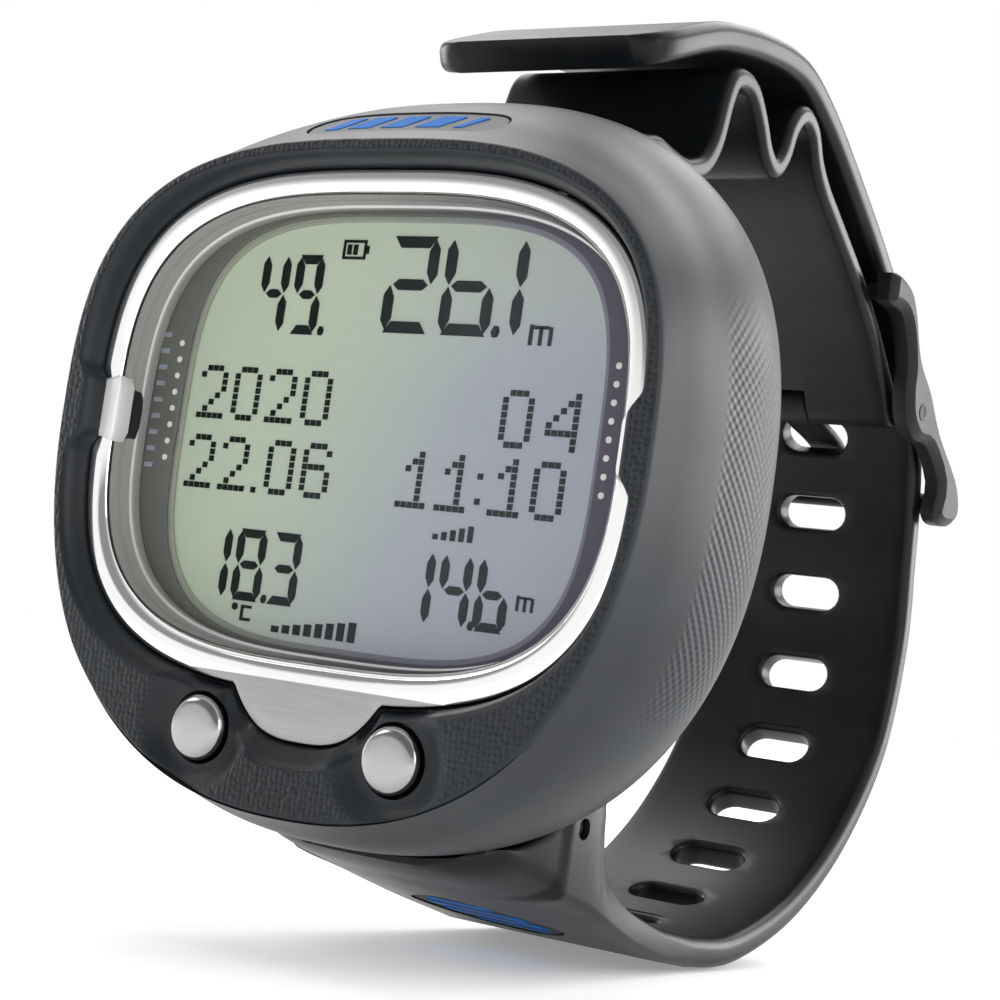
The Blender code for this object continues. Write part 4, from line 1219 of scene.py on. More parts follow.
class LensWindow:
    """The clear window plate, the moulded wall round it and its thin bright edge."""

    def plate(self) -> bpy.types.Object:
        """The clear front plate.

        Returns:
            The finished piece.
        """
        edge = FACE.bezel_inner.grown(-0.3)
        rows = [face_loop(edge, 3.7, count=240), face_loop(edge, 0.75, count=240),
                face_loop(edge.grown(-0.15), 0.6, count=240)]
        return skin("lens_plate", rows, [Palette.LENS])

    def wall(self) -> bpy.types.Object:
        """The wall seen through the lens, with two fine steps and a bright lower line of painted highlight.

        Returns:
            The finished piece.
        """
        edge = FACE.bezel_inner
        profile = ((0.28, 0.9), (-0.12, 0.9), (-0.2, 1.45), (-0.26, 1.47), (-0.3, 2.1), (-0.36, 2.12),
                   (-0.42, 2.95), (-0.62, 3.05), (-0.68, 3.25), (-0.6, 4.1), (0.28, 4.1))
        rows = [face_loop(edge.grown(by), depth) for by, depth in profile]
        # Painted highlight: one span takes the bright glint finish.
        return skin("lens_wall", rows, [Palette.WALL, Palette.GLINT], joined=True, degrees=20,
                    paint=lambda index: 1 if index == 6 else 0)

    def joint(self) -> bpy.types.Object:
        """The black seal under the ring's inner edge.

        Returns:
            The finished piece.
        """
        rows = [face_loop(FACE.bezel_inner.grown(by), depth) for by, depth in
                ((0.35, 0.85), (0.0, 0.85), (-0.06, 0.72), (-0.06, 0.6), (0.0, 0.52), (0.35, 0.52))]
        return skin("bezel_joint", rows, [Palette.JOINT_AND_NOTCH_SHADE], joined=True)


class BezelClip:
    """The clear clip between ring and window at 9 o'clock, whitened by a painted highlight, with a black
    plate of painted shade in the notch beside it.
    """

    def build(self) -> list[bpy.types.Object]:
        """Make the clip and the black plate of painted shade in its notch.

        Returns:
            The finished pieces.
        """
        def shape(inset: float) -> list[Flat]:
            """Rounded outline in X and Z.

            Args:
                inset: how far in from the edge.

            Returns:
                Corners of one level.
            """
            corners = [(-27.0 + inset, -2.5 + inset), (-25.4, -2.9 + inset), (-24.9 - inset, -1.9),
                       (-24.9 - inset, 2.1), (-25.4, 3.0 - inset), (-27.0 + inset, 2.6 - inset)]
            return corners

        rows = [[(x, depth, z) for x, z in shape(inset)] for depth, inset in
                ((1.7, 0.0), (0.0, 0.0), (-0.25, 0.35))]
        # Painted highlight: the clip's nearly opaque white finish stands for glare on its clear plastic.
        clip = skin("clip", rows, [Palette.CLIP_PAINTED_HIGHLIGHT])
        bevelled(clip, 0.22, 3)
        clip.name = "clear_clip_painted_highlight"
        # Painted shade: a black plate fills the notch where only shade falls.
        notch = [(-25.45, -2.5), (-25.1, -2.2), (-24.85, -1.2), (-24.8, 0.2), (-24.9, 1.3), (-25.45, 2.3)]
        dark = prism("clip_notch_painted_shade", notch, lambda a, b, level: (a, level, b), 1.75, 2.9, [Palette.JOINT_AND_NOTCH_SHADE])
        return [clip, dark]


# ---- Display ----
class Repeat:
    """A Geometry Nodes tree that sets one small bar or bead on every point of a mesh."""

    def __init__(self, name: str, beads: bool, finish: Palette) -> None:
        """Build the tree.

        Args:
            name: the tree's name.
            beads: round beads when true, square bars when false.
            finish: what the copies are made of.
        """
        self.tree = bpy.data.node_groups.new(name, "GeometryNodeTree")
        panel = self.tree.interface
        self.sockets = {"Geometry": panel.new_socket("Geometry", in_out="INPUT",
                                                     socket_type="NodeSocketGeometry")}
        for label in ("Width", "Depth", "Height"):
            self.sockets[label] = panel.new_socket(label, in_out="INPUT", socket_type="NodeSocketFloat")
        panel.new_socket("Geometry", in_out="OUTPUT", socket_type="NodeSocketGeometry")
        nodes, links = self.tree.nodes, self.tree.links
        given, result = nodes.new("NodeGroupInput"), nodes.new("NodeGroupOutput")
        place = nodes.new("GeometryNodeInstanceOnPoints")
        if beads:
            piece = nodes.new("GeometryNodeMeshCylinder")
            piece.inputs["Vertices"].default_value = 16
            links.new(given.outputs["Width"], piece.inputs["Radius"])
            links.new(given.outputs["Depth"], piece.inputs["Depth"])
            place.inputs["Rotation"].default_value = (math.pi / 2, 0, 0)
        else:
            size = nodes.new("ShaderNodeCombineXYZ")
            for label, axis in (("Width", "X"), ("Depth", "Y"), ("Height", "Z")):
                links.new(given.outputs[label], size.inputs[axis])
            piece = nodes.new("GeometryNodeMeshCube")
            links.new(size.outputs[0], piece.inputs["Size"])
        realise, dress = nodes.new("GeometryNodeRealizeInstances"), nodes.new("GeometryNodeSetMaterial")
        dress.inputs["Material"].default_value = material(finish)
        links.new(given.outputs["Geometry"], place.inputs["Points"])
        links.new(piece.outputs["Mesh"], place.inputs["Instance"])
        links.new(place.outputs["Instances"], realise.inputs["Geometry"])
        links.new(realise.outputs["Geometry"], dress.inputs["Geometry"])
        links.new(dress.outputs["Geometry"], result.inputs[0])

    def on(self, name: str, places: Sequence[Point], width: float, depth: float, height: float = 0.0,
           smooth: bool = False) -> bpy.types.Object:
        """Set the copies on places.

        Args:
            name: the new object's name.
            places: dial points.
            width: radius of a bead or width of a bar, in millimetres.
            depth: size along Y.
            height: size along Z of a bar.
            smooth: whether the copies are shaded smooth.

        Returns:
            One plain mesh of all copies.
        """
        mesh = bpy.data.meshes.new(name)
        mesh.from_pydata([metres(place) for place in places], [], [])
        item = bpy.data.objects.new(name, mesh)
        bpy.context.scene.collection.objects.link(item)
        modifier = item.modifiers.new("copies", "NODES")
        modifier.node_group = self.tree
        for label, value in (("Width", width), ("Depth", depth), ("Height", height)):
            modifier[self.sockets[label].identifier] = value * MM
        plain(item)
        if smooth:
            shade(item.data, 40)
        return item


SEGMENTS = {"0": "abcdef", "1": "bc", "2": "abged", "3": "abgcd", "4": "fgbc", "5": "afgcd",
            "6": "fgcde", "7": "abc", "8": "abcdefg", "9": "abcdfg"}
CELLS = {"0": ("01110", "10001", "10001", "10001", "10001", "10001", "10001", "01110"),
         "1": ("00010", "00110", "01010", "00010", "00010", "00010", "00010", "11111"),
         "2": ("01110", "10001", "00001", "00001", "00010", "00100", "01000", "11111"),
         "4": ("00001", "00011", "00101", "01001", "10001", "11111", "00001", "00001"),
         "6": ("01110", "10001", "10000", "11110", "10001", "10001", "10001", "01110")}


@dataclass(frozen=True)
class Readout:
    """A seven-segment number: its text, box and stroke width."""

    text: str
    left: float
    right: float
    low: float
    high: float
    stroke: float

    def digit(self, shown: str, left: float, width: float) -> list[list[Flat]]:
        """The outlines of one digit's segments.

        Args:
            shown: the digit.
            left: its left edge.
            width: width in millimetres.

        Returns:
            An outline for each segment.
        """
        t, gap = self.stroke, 0.09
        low, high, right = self.low, self.high, left + width
        middle = (low + high) / 2
        half = t / 2
        shapes = {
            "a": [(left + 0.35 * t, high), (right - 0.35 * t, high), (right - 1.05 * t, high - 0.95 * t),
                  (left + 1.05 * t, high - 0.95 * t)],
            "d": [(left + 1.05 * t, low + 0.95 * t), (right - 1.05 * t, low + 0.95 * t),
            (right - 0.35 * t, low),
                  (left + 0.35 * t, low)],
            "g": [(left + 0.75 * t, middle), (left + 1.3 * t, middle + half * 0.9),
                  (right - 1.3 * t, middle + half * 0.9),
                  (right - 0.75 * t, middle), (right - 1.3 * t, middle - half * 0.9),
                  (left + 1.3 * t, middle - half * 0.9)],
        }
        for name, outer, inner, foot, head in (("f", left, left + t, middle + gap, high - 0.25 * t),
                                               ("b", right, right - t, middle + gap, high - 0.25 * t),
                                               ("e", left, left + t, low + 0.25 * t, middle - gap),
                                               ("c", right, right - t, low + 0.25 * t, middle - gap)):
            mid = (outer + inner) / 2
            shapes[name] = [(mid, foot), (outer, foot + 0.75 * t), (outer, head - 0.75 * t), (mid, head),
                            (inner, head - 0.95 * t), (inner, foot + 0.95 * t)]
        return [shapes[key] for key in SEGMENTS[shown]]

    def outlines(self) -> list[list[Flat]]:
        """Outlines of every lit segment and point.

        Returns:
            All outlines.
        """
        digits = sum(c.isdigit() for c in self.text)
        narrow = 0.42
        share = sum(narrow if c == "1" else 1.0 for c in self.text if c.isdigit())
        spacing = 0.75 * self.stroke
        width = (self.right - self.left - spacing * (digits - 1)) / share
        place, found = self.left, []
        for shown in self.text:
            if shown == ".":
                x, r = place - spacing / 2, 0.42 * self.stroke
                found.append([(x + 1.1 * r, self.low), (x + 1.5 * r, self.low + r),
                (x + 1.2 * r, self.low + 2.1 * r),
                              (x + 0.2 * r, self.low + 2.2 * r), (x - 0.4 * r, self.low + r), (x, self.low)])
                continue
            size = width * narrow if shown == "1" else width
            if shown == "1":
                found += self.digit("1", place + size - width, width)
            else:
                found += self.digit(shown, place, size)
            place += size + spacing
        return found


@dataclass
class DisplayFace:
    """The printed mask, its dots and ticks, and the liquid crystal with its digits."""

    ink_front: float = 4.72
    ink_back: float = 4.86
    readouts: tuple[Readout, ...] = (
        Readout("49.", -15.0, -8.3, 8.2, 15.2, 0.86), Readout("26.1", -1.6, 12.4, 8.7, 17.0, 1.05),
        Readout("18.3", -15.2, -6.2, -15.2, -9.0, 0.80), Readout("14.6", 6.3, 15.0, -15.2, -9.2, 0.80))
    lines: tuple[tuple[str, float, float, float], ...] = (
        ("2020", -20.2, 0.3, 3.86), ("22.06", -20.4, -5.9, 3.86), ("04", 11.8, -0.3, 4.35),
        ("11:10", 2.6, -5.9, 3.95))

    def mask(self) -> bpy.types.Object:
        """The printed frame round the window.

        Returns:
            The finished piece.
        """
        outer, window = FACE.bezel_inner.grown(0.2), FACE.window
        rows = [face_loop(outer, 4.45), face_loop(outer, 4.2), face_loop(window.grown(0.08), 4.2),
                face_loop(window, 4.26), face_loop(window, 4.45)]
        return skin("mask_plate", rows, [Palette.MASK], joined=True, degrees=25)

    def window_step(self) -> bpy.types.Object:
        """The pale inner step that frames the liquid crystal; its pale tone is a painted highlight on the
        window's edge.

        Returns:
            The finished piece.
        """
        window = FACE.window
        rows = [face_loop(window.grown(0.4), 4.78), face_loop(window.grown(0.4), 4.5),
                face_loop(window.grown(-0.35), 4.5), face_loop(window.grown(-0.45), 4.56),
                face_loop(window.grown(-0.45), 4.78)]
        # Painted highlight: the step's pale finish.
        return skin("lcd_border_painted_highlight", rows, [Palette.BORDER_PAINTED_HIGHLIGHT], joined=True, degrees=25)

    def ink(self) -> bpy.types.Object:
        """All segment digits, units and pictograms.

        Returns:
            The finished piece.
        """
        outlines = [shape for readout in self.readouts for shape in readout.outlines()]
        outlines += self.pictograms()
        pieces = [prism("segment", shape, lambda a, b, level: (a, level, b), self.ink_front, self.ink_back,
                        [Palette.INK]) for shape in outlines]
        return merged("segments", pieces)

    def pictograms(self) -> list[list[Flat]]:
        """Generic marks: a battery, a metre sign twice, a degree ring and bar meters.

        Returns:
            All outlines.
        """
        found = []
        for x, z, tall in ((13.4, 8.2, 1.7), (15.8, -13.2, 1.25)):
            stroke = 0.2 * tall
            for k in range(3):
                found.append(bar(x + k * 0.55 * tall, z, stroke, tall * (1.0 if k == 0 else 0.9)))
            found.append(bar(x + stroke, z + tall * 0.78, 1.1 * tall - stroke, stroke * 0.85))
        found += [bar(-6.6, 14.9, 0.25, 1.7), bar(-4.4, 14.9, 0.25, 1.7), bar(-6.35, 14.9, 1.95, 0.25),
                  bar(-6.35, 16.35, 1.95, 0.25), bar(-4.15, 15.4, 0.3, 0.7), bar(-6.15, 15.3, 0.45, 0.9),
                  bar(-5.5, 15.3, 0.45, 0.9)]
        found += [bar(-8.2 + k * 1.15, -17.5, 0.75, 0.55 + 0.16 * k) for k in range(8)]
        found += [bar(6.9 + k * 0.85, -8.2, 0.5, 0.45 + 0.22 * k) for k in range(5)]
        ring = [(-12.5 + r * math.cos(a), -15.75 + r * math.sin(a)) for r, a in
                [(0.32, 2 * math.pi * i / 20) for i in range(20)]]
        found += [ring, bar(-11.8, -16.9, 0.28, 1.35), bar(-11.52, -16.9, 0.85, 0.26),
                  bar(-11.52, -15.81, 0.85, 0.26)]
        return found

    def cells(self) -> list[Point]:
        """Centres of all lit square cells.

        Returns:
            Middle of each cell.
        """
        pitch_x, pitch_z = 0.615, 0.605
        found = []
        for text, left, low, advance in self.lines:
            x = left
            for shown in text:
                if shown in ".:":
                    rows = (0.5,) if shown == "." else (1.8, 5.2)
                    found += [(x + 0.2, self.ink_front + 0.08, low + row * pitch_z) for row in rows]
                    x += 1.25
                    continue
                for r, line in enumerate(CELLS[shown]):
                    for c, lit in enumerate(line):
                        if lit == "1":
                            found.append((x + (c + 0.5) * pitch_x, self.ink_front + 0.08,
                                          low + (7.5 - r) * pitch_z))
                x += advance
        return found

    def build(self) -> None:
        """Make and hand over the whole display."""
        settle(self.mask(), "case", "display_print", "display_mask")
        settle(self.window_step(), "case", "display_print")
        settle(self.ink(), "case", "display_print")
        cells = Repeat("square_cells", False, Palette.INK)
        settle(cells.on("matrix_cells", self.cells(), 0.52, 0.14, 0.5), "case", "display_print")
        dots = Repeat("round_dots", True, Palette.DOTS)
        pitch, top = 1.47, 6.8
        places = [(side * 22.5, 4.19, top - pitch * i) for side in (-1, 1) for i in range(8)]
        settle(dots.on("white_dots", places, 0.27, 0.09), "case", "display_print")
        ticks = Repeat("ticks", False, Palette.TICKS)
        places = [(-24.3, 4.19, 7.5 - pitch * i) for i in range(9)]
        settle(ticks.on("mask_ticks", places, 0.95, 0.09, 0.42), "case", "display_print")


def bar(x: float, z: float, width: float, height: float) -> list[Flat]:
    """A rectangle by its lower left corner."""
    return [(x, z), (x + width, z), (x + width, z + height), (x, z + height)]


# ---- Buttons ----
@dataclass
class PushButton:
    """One polished push button: softly crowned cap and stem."""

    side: str
    x: float

    def build(self) -> bpy.types.Object:
        """Make the button.

        Returns:
            The finished piece.
        """
        profile = [(0.02, -1.60), (0.9, -1.60), (1.75, -1.57), (2.1, -1.53), (2.35, -1.44), (2.55, -1.28),
                   (2.68, -1.08), (2.74, -0.85), (2.75, -0.6), (2.75, 0.5), (2.65, 0.6), (1.05, 0.6),
                   (1.0, 0.65), (1.0, 8.7), (0.02, 8.7)]
        return turned(f"button_{self.side}_cap", profile, (self.x, FACE.button_z), [Palette.BUTTON], steps=96)


# ---- Straps ----
@dataclass(frozen=True)
class Station:
    """One cross-section of a strap: outer and inner place in depth and height, half width and corner."""

    outer: Flat
    inner: Flat
    half: float
    corner: float = 0.7
    crown: float = 0.0

    def loop(self, corner_steps: int = 6) -> list[Point]:
        """Points of the rounded section; its outer face falls away to the sides by the crown.

        Args:
            corner_steps: steps round each corner.

        Returns:
            The closed loop.
        """
        outer, inner = Vector(self.outer), Vector(self.inner)
        thick = (outer - inner).length
        normal = (outer - inner).normalized()
        radius = min(self.corner, thick * 0.48)
        middle = (outer + inner) / 2
        points = []
        for sx, sn in ((1, 1), (1, -1), (-1, -1), (-1, 1)):
            start = {(1, 1): math.pi / 2, (1, -1): 0.0, (-1, -1): -math.pi / 2, (-1, 1): math.pi}[(sx, sn)]
            for i in range(corner_steps + 1):
                angle = start - math.pi / 2 * i / corner_steps
                x = sx * (self.half - radius) + radius * math.cos(angle)
                n = sn * (thick / 2 - radius) + radius * math.sin(angle)
                place = middle + normal * (n - self.crown * (abs(x) / 14) ** 3 * (0.5 + n / thick))
                points.append((x, place.x, place.y))
            if sx == 1 and sn == -1 or sx == -1 and sn == 1:
                edge = self.half - radius
                for share in (0.06, 0.15, 0.25, 0.38, 0.5, 0.62, 0.75, 0.85, 0.94):
                    x = edge * (1 - 2 * share) * (1 if sx == 1 else -1)
                    fall = self.crown * (abs(x) / 14) ** 3 * (0.5 + sn / 2)
                    place = middle + normal * (sn * thick / 2 - fall)
                    points.append((x, place.x, place.y))
        return points


def stations_along(path: Sequence[Flat], thickness: Callable[[float], float],
                   half: Callable[[float], float], corner: float = 0.7) -> list[Station]:
    """Stations square to a centre path.

    Args:
        path: depth and height points.
        thickness: signed thickness at a share of the path; negative puts the outer side on the right.
        half: half width at a share.
        corner: corner radius.

    Returns:
        The stations.
    """
    found = []
    for i, point in enumerate(path):
        share = i / (len(path) - 1)
        before, after = Vector(path[max(i - 1, 0)]), Vector(path[min(i + 1, len(path) - 1)])
        along = (after - before).normalized()
        normal = Vector((-along.y, along.x)) * thickness(share) / 2
        centre = Vector(point)
        found.append(Station(tuple(centre + normal), tuple(centre - normal), half(share), corner))
    return found


def refined(stations: Sequence[Station], per_span: int = 3) -> list[Station]:
    """Stations smoothed through the given ones."""
    flat = [(*s.outer, *s.inner, s.half, s.corner, s.crown) for s in stations]
    return [Station(row[0:2], row[2:4], *row[4:]) for row in smooth_path(flat, per_span)]


def block(name: str, size: Point, centre: Point, turn: float = 0.0) -> bpy.types.Object:
    """A cutting block turned about X.

    Args:
        name: its name.
        size: its width, depth and height.
        centre: the middle.
        turn: angle about X in radians.

    Returns:
        The block.
    """
    half = Vector(size) / 2
    rows = []
    for x in (-half.x, half.x):
        row = []
        for y, z in ((-half.y, -half.z), (half.y, -half.z), (half.y, half.z), (-half.y, half.z)):
            row.append((centre[0] + x, centre[1] + y * math.cos(turn) - z * math.sin(turn),
                        centre[2] + y * math.sin(turn) + z * math.cos(turn)))
        rows.append(row)
    return skin(name, rows, [Palette.STRAP])


@dataclass(frozen=True)
class StrapSizes:
    """Sizes that both straps and the buckle share."""

    half: float = 12.5
    upper_pin: Flat = (22.7, 27.3)
    lower_pin: Flat = (22.7, -30.4)
    buckle_pin: Flat = (82.2, 16.6)
    pin_radius: float = 0.75
    lug_half: float = 8.5
    lug_room: float = 2.6


STRAP = StrapSizes()


@dataclass
class UpperStrap:
    """The short strap with two bellows folds and the hub round the buckle pin."""

    thickness: float = 2.2
    root: tuple[tuple[Flat, Flat], ...] = (((20.4, 30.2), (20.4, 24.9)), ((23.0, 30.9), (23.0, 24.7)),
                                           ((25.6, 30.6), (25.2, 25.6)), ((27.6, 30.4), (27.4, 27.2)))
    centre: tuple[Flat, ...] = (
        (29.4, 29.4), (32.2, 30.6), (34.0, 33.2), (35.0, 37.4), (36.0, 39.7), (37.8, 40.4), (40.0, 39.9),
        (42.2, 37.8), (44.2, 35.2), (46.4, 34.2), (48.1, 35.9), (49.2, 39.0), (51.2, 40.9), (53.7, 40.0),
        (55.6, 37.2), (58.0, 35.0), (61.8, 32.6), (68.8, 28.2), (74.7, 23.7))

    def build(self) -> bpy.types.Object:
        """Make the strap.

        Returns:
            The finished piece.
        """
        stations = refined([Station(outer, inner, STRAP.half, 0.8) for outer, inner in self.root], 3)
        path = smooth_path(self.centre, 5)
        stations += stations_along(path, lambda share: self.thickness, lambda share: STRAP.half, 0.85)
        along = Vector((1.0, -0.85)).normalized()
        normal = Vector((-along.y, along.x))
        pin = Vector(STRAP.buckle_pin)
        for reach, half in ((-2.6, 1.3), (-1.7, 1.62), (-0.9, 1.82), (0.0, 1.93), (0.8, 1.8), (1.4, 1.42),
        (1.75, 0.9),
                            (1.88, 0.35)):
            centre = pin + along * reach
            stations.append(Station(tuple(centre + normal * half), tuple(centre - normal * half),
                                    STRAP.half, 0.8))
        rows = [station.loop() for station in stations]
        strap = skin("strap_upper_body", rows, [Palette.STRAP], degrees=50)
        depth, height = STRAP.upper_pin
        room = 2 * STRAP.lug_room
        notch = block("prong_room", (5.2, 8.4, 12.0), (0, pin.x + 1.3, pin.y), math.radians(-40))
        hole = rod("pin_hole", (-14, *STRAP.buckle_pin), (14, *STRAP.buckle_pin), STRAP.pin_radius + 0.25,
                   [Palette.STRAP])
        upper = rod("pin_hole", (-14, *STRAP.upper_pin), (14, *STRAP.upper_pin), STRAP.pin_radius + 0.25,
                    [Palette.STRAP])
        tongue = block("tongue", (2 * STRAP.lug_half, room + 6.0, room), (0, depth - 3.0, height))
        return cut(strap, [tongue, upper, hole, notch], degrees=50)


@dataclass
class LowerStrap:
    """The long strap: wide root under the case, slots with rounded lips, and the tail over the top."""

    thickness: float = 3.0
    tail: float = 2.9
    first_slot: int = 8
    slots: int = 9
    pitch: float = 9.0
    slot_half: float = 4.1
    slot_radius: float = 1.85
    inlay_start: float = 4.5
    inlay_length: float = 16.0
    case: CaseBody = field(default_factory=CaseBody)
    root: tuple[tuple[Flat, Flat, float], ...] = (
        ((14.5, -36.3), (14.5, -34.8), 13.4), ((17.4, -37.0), (17.4, -34.8), 14.0), ((20.0, -37.7),
        (20.0, -34.4), 14.4),
        ((20.4, -37.8), (20.4, -26.4), 14.6), ((25.4, -39.0), (25.4, -26.5), 14.6), ((29.5, -40.0),
        (26.8, -31.2), 14.4),
        ((33.4, -40.8), (29.2, -34.6), 14.0), ((38.5, -41.8), (34.6, -37.4), 13.4), ((45.0, -43.0),
        (43.4, -39.7), 12.8))
    centre: tuple[Flat, ...] = (
        (51.0, -42.2), (60.5, -42.1), (72.8, -38.2), (83.2, -31.0), (90.8, -21.0), (93.4, -9.0), (92.6, 1.0),
        (91.7, 8.0), (89.9, 14.5), (86.6, 20.8), (80.6, 27.0), (73.4, 32.4), (65.4, 37.6), (58.0, 42.0),
        (52.0, 44.6),
        (47.3, 45.2), (41.9, 44.8), (36.6, 43.9), (30.8, 42.3), (20.6, 37.8))

    def slot_cutters(self) -> bpy.types.Object:
        """Rounded bars flared at both faces of the strap.

        Returns:
            The joined cutters.
        """
        path = smooth_path(self.centre, 8)
        index = self.first_slot * 8
        pieces = []
        for k in range(self.slots):
            along = (Vector(path[index + 1]) - Vector(path[index - 1])).normalized()
            normal = Vector((-along.y, along.x))
            centre = Vector(path[index])
            rows = []
            for reach in (-3.2, -1.56, -1.45, -1.3, -1.1, -0.85, 0.85, 1.1, 1.3, 1.45, 1.56, 3.2):
                lift = max(abs(reach) - 0.85, 0.0) / 0.71
                flare = 0.62 * (1 - math.sqrt(max(1 - min(lift, 1.0) ** 2, 0.0)))
                row = []
                for u, v in stadium(self.slot_half + flare, self.slot_radius + flare, 10):
                    place = centre + along * v + normal * reach
                    row.append((u, place.x, place.y))
                rows.append(row)
            pieces.append(skin(f"slot_{k}", rows, [Palette.STRAP]))
            travelled = 0.0
            while travelled < self.pitch and index > 0:
                travelled += (Vector(path[index]) - Vector(path[index - 1])).length
                index -= 1
        return merged("slots", pieces)

    def build(self) -> bpy.types.Object:
        """Make the strap.

        Returns:
            The finished piece.
        """
        lip = [Station((11.2, -35.15), (11.2, -34.8), 12.2, 0.2, 1.3),
               Station((12.6, -35.7), (12.6, -34.8), 12.9, 0.4, 1.3)]
        front = [Station(outer, inner, half, 0.7, 1.3) for outer, inner, half in self.root[:3]]
        rear = [Station(outer, inner, half, 0.9, 1.3 * ease((46.0 - outer[0]) / 12.0))
                for outer, inner, half in self.root[3:]]
        stations = refined(lip + front, 3) + refined(rear, 4)
        hugged = len(lip + front) * 3 - 2
        tail_from = (self.first_slot + 0.5) / (len(self.centre) - 1)

        def thickness(share: float) -> float:
            """The strap thins out at its tail."""
            thinned = min(max((share - tail_from + 0.1) / 0.1, 0), 1)
            return -(self.thickness + (self.tail - self.thickness) * thinned)

        def half(share: float) -> float:
            """The tail's tip is rounded."""
            tip = max((share - 0.975) / 0.025, 0.0)
            return STRAP.half - 2.6 * (1 - math.sqrt(max(1 - tip * tip, 0.0)))

        stations += stations_along(smooth_path(self.centre, 8), thickness, half, 1.1)
        rows = [station.loop() for station in stations]
        for index in range(hugged):
            rows[index] = [self.hugging(point, stations[index]) for point in rows[index]]
        strap = skin("strap_lower_body", rows, [Palette.STRAP], degrees=50)
        depth, height = STRAP.lower_pin
        room = 2 * STRAP.lug_room
        tongue = block("tongue", (2 * STRAP.lug_half, room + 6.0, room), (0, depth - 3.0, height))
        hole = rod("pin_hole", (-17, *STRAP.lower_pin), (17, *STRAP.lower_pin), STRAP.pin_radius + 0.2,
                   [Palette.STRAP])
        return cut(strap, [tongue, hole, self.slot_cutters(), self.underside(-0.35, 1.2, 0.25)], degrees=50)

    def hugging(self, point: Point, station: Station) -> Point:
        """A point of the flap moved so that the flap's inner face follows the case's underside.

        Args:
            point: the place.
            station: its cross section.

        Returns:
            The moved point.
        """
        x, depth, height = point
        outer, inner = station.outer[1], station.inner[1]
        share = min(max((height - outer) / (inner - outer), 0.0), 1.0)
        shape = self.case.outline_at(min(depth, 19.15))
        reach = shape.bottom * (1 - (abs(x) / shape.half_width) ** 2.3) ** (1 / 2.3)
        return x, depth, height + share * share * (-reach - 0.3 - inner)

    def under_at(self, x: float, run: float, lift: float) -> Point:
        """A place on the root's underside: run goes from the front end of the inlay, lift outwards.

        Args:
            x: place to 3 o'clock.
            run: distance from the inlay's front end.
            lift: distance off the surface.

        Returns:
            The place.
        """
        points = [Vector(station[0]) for station in self.root[3:]]
        start = self.inlay_start + run
        for first, second in zip(points, points[1:]):
            length = (second - first).length
            if start <= length or second is points[-1]:
                along = (second - first).normalized()
                place = first + along * start
                outward = Vector((along.y, -along.x))
                place += outward * (lift - 1.3 * ease((46.0 - place.x) / 12.0) * (abs(x) / 14) ** 3)
                return x, place.x, place.y
            start -= length
        raise ValueError(run)

    def underside(self, low: float, high: float, grow: float) -> bpy.types.Object:
        """A lens-shaped plate or cutter on the root's underside.

        Args:
            low: level of the face nearer the strap's inside.
            high: level of the outer face.
            grow: extra size all round.

        Returns:
            The plate.
        """
        length, wide, steps = self.inlay_length, 7.4, 32
        rows = []
        for i in range(steps + 1):
            share = i / steps
            half = max((wide + grow) * math.sin(math.pi * share) ** 0.7, 0.15)
            run = -grow + (length + 2 * grow) * share
            rows.append([self.under_at(x, run, level) for x, level in
                         ((-half, low), (-half * 0.33, low), (half * 0.33, low), (half, low), (half, high),
                          (half * 0.33, high), (-half * 0.33, high), (-half, high))])
        return skin("underside", rows, [Palette.SEAL])

    def inlay(self) -> bpy.types.Object:
        """The dark plate with slanted blue bars let into the root's underside.

        Returns:
            The finished piece.
        """
        pieces = [self.underside(-0.34, -0.12, 0.0)]
        for run, span, lean in ((1.8, 1.9, 3.2), (4.8, 2.6, 5.0), (8.4, 2.6, 5.2), (12.2, 1.6, 3.6)):
            shape = [(-lean, run), (-lean, run + span * 0.6), (lean, run + span), (lean, run + span * 0.25)]
            pieces.append(prism("bar", shape, self.under_at, -0.2, -0.05, [Palette.BLUE]))
        return merged("strap_inlay", pieces)


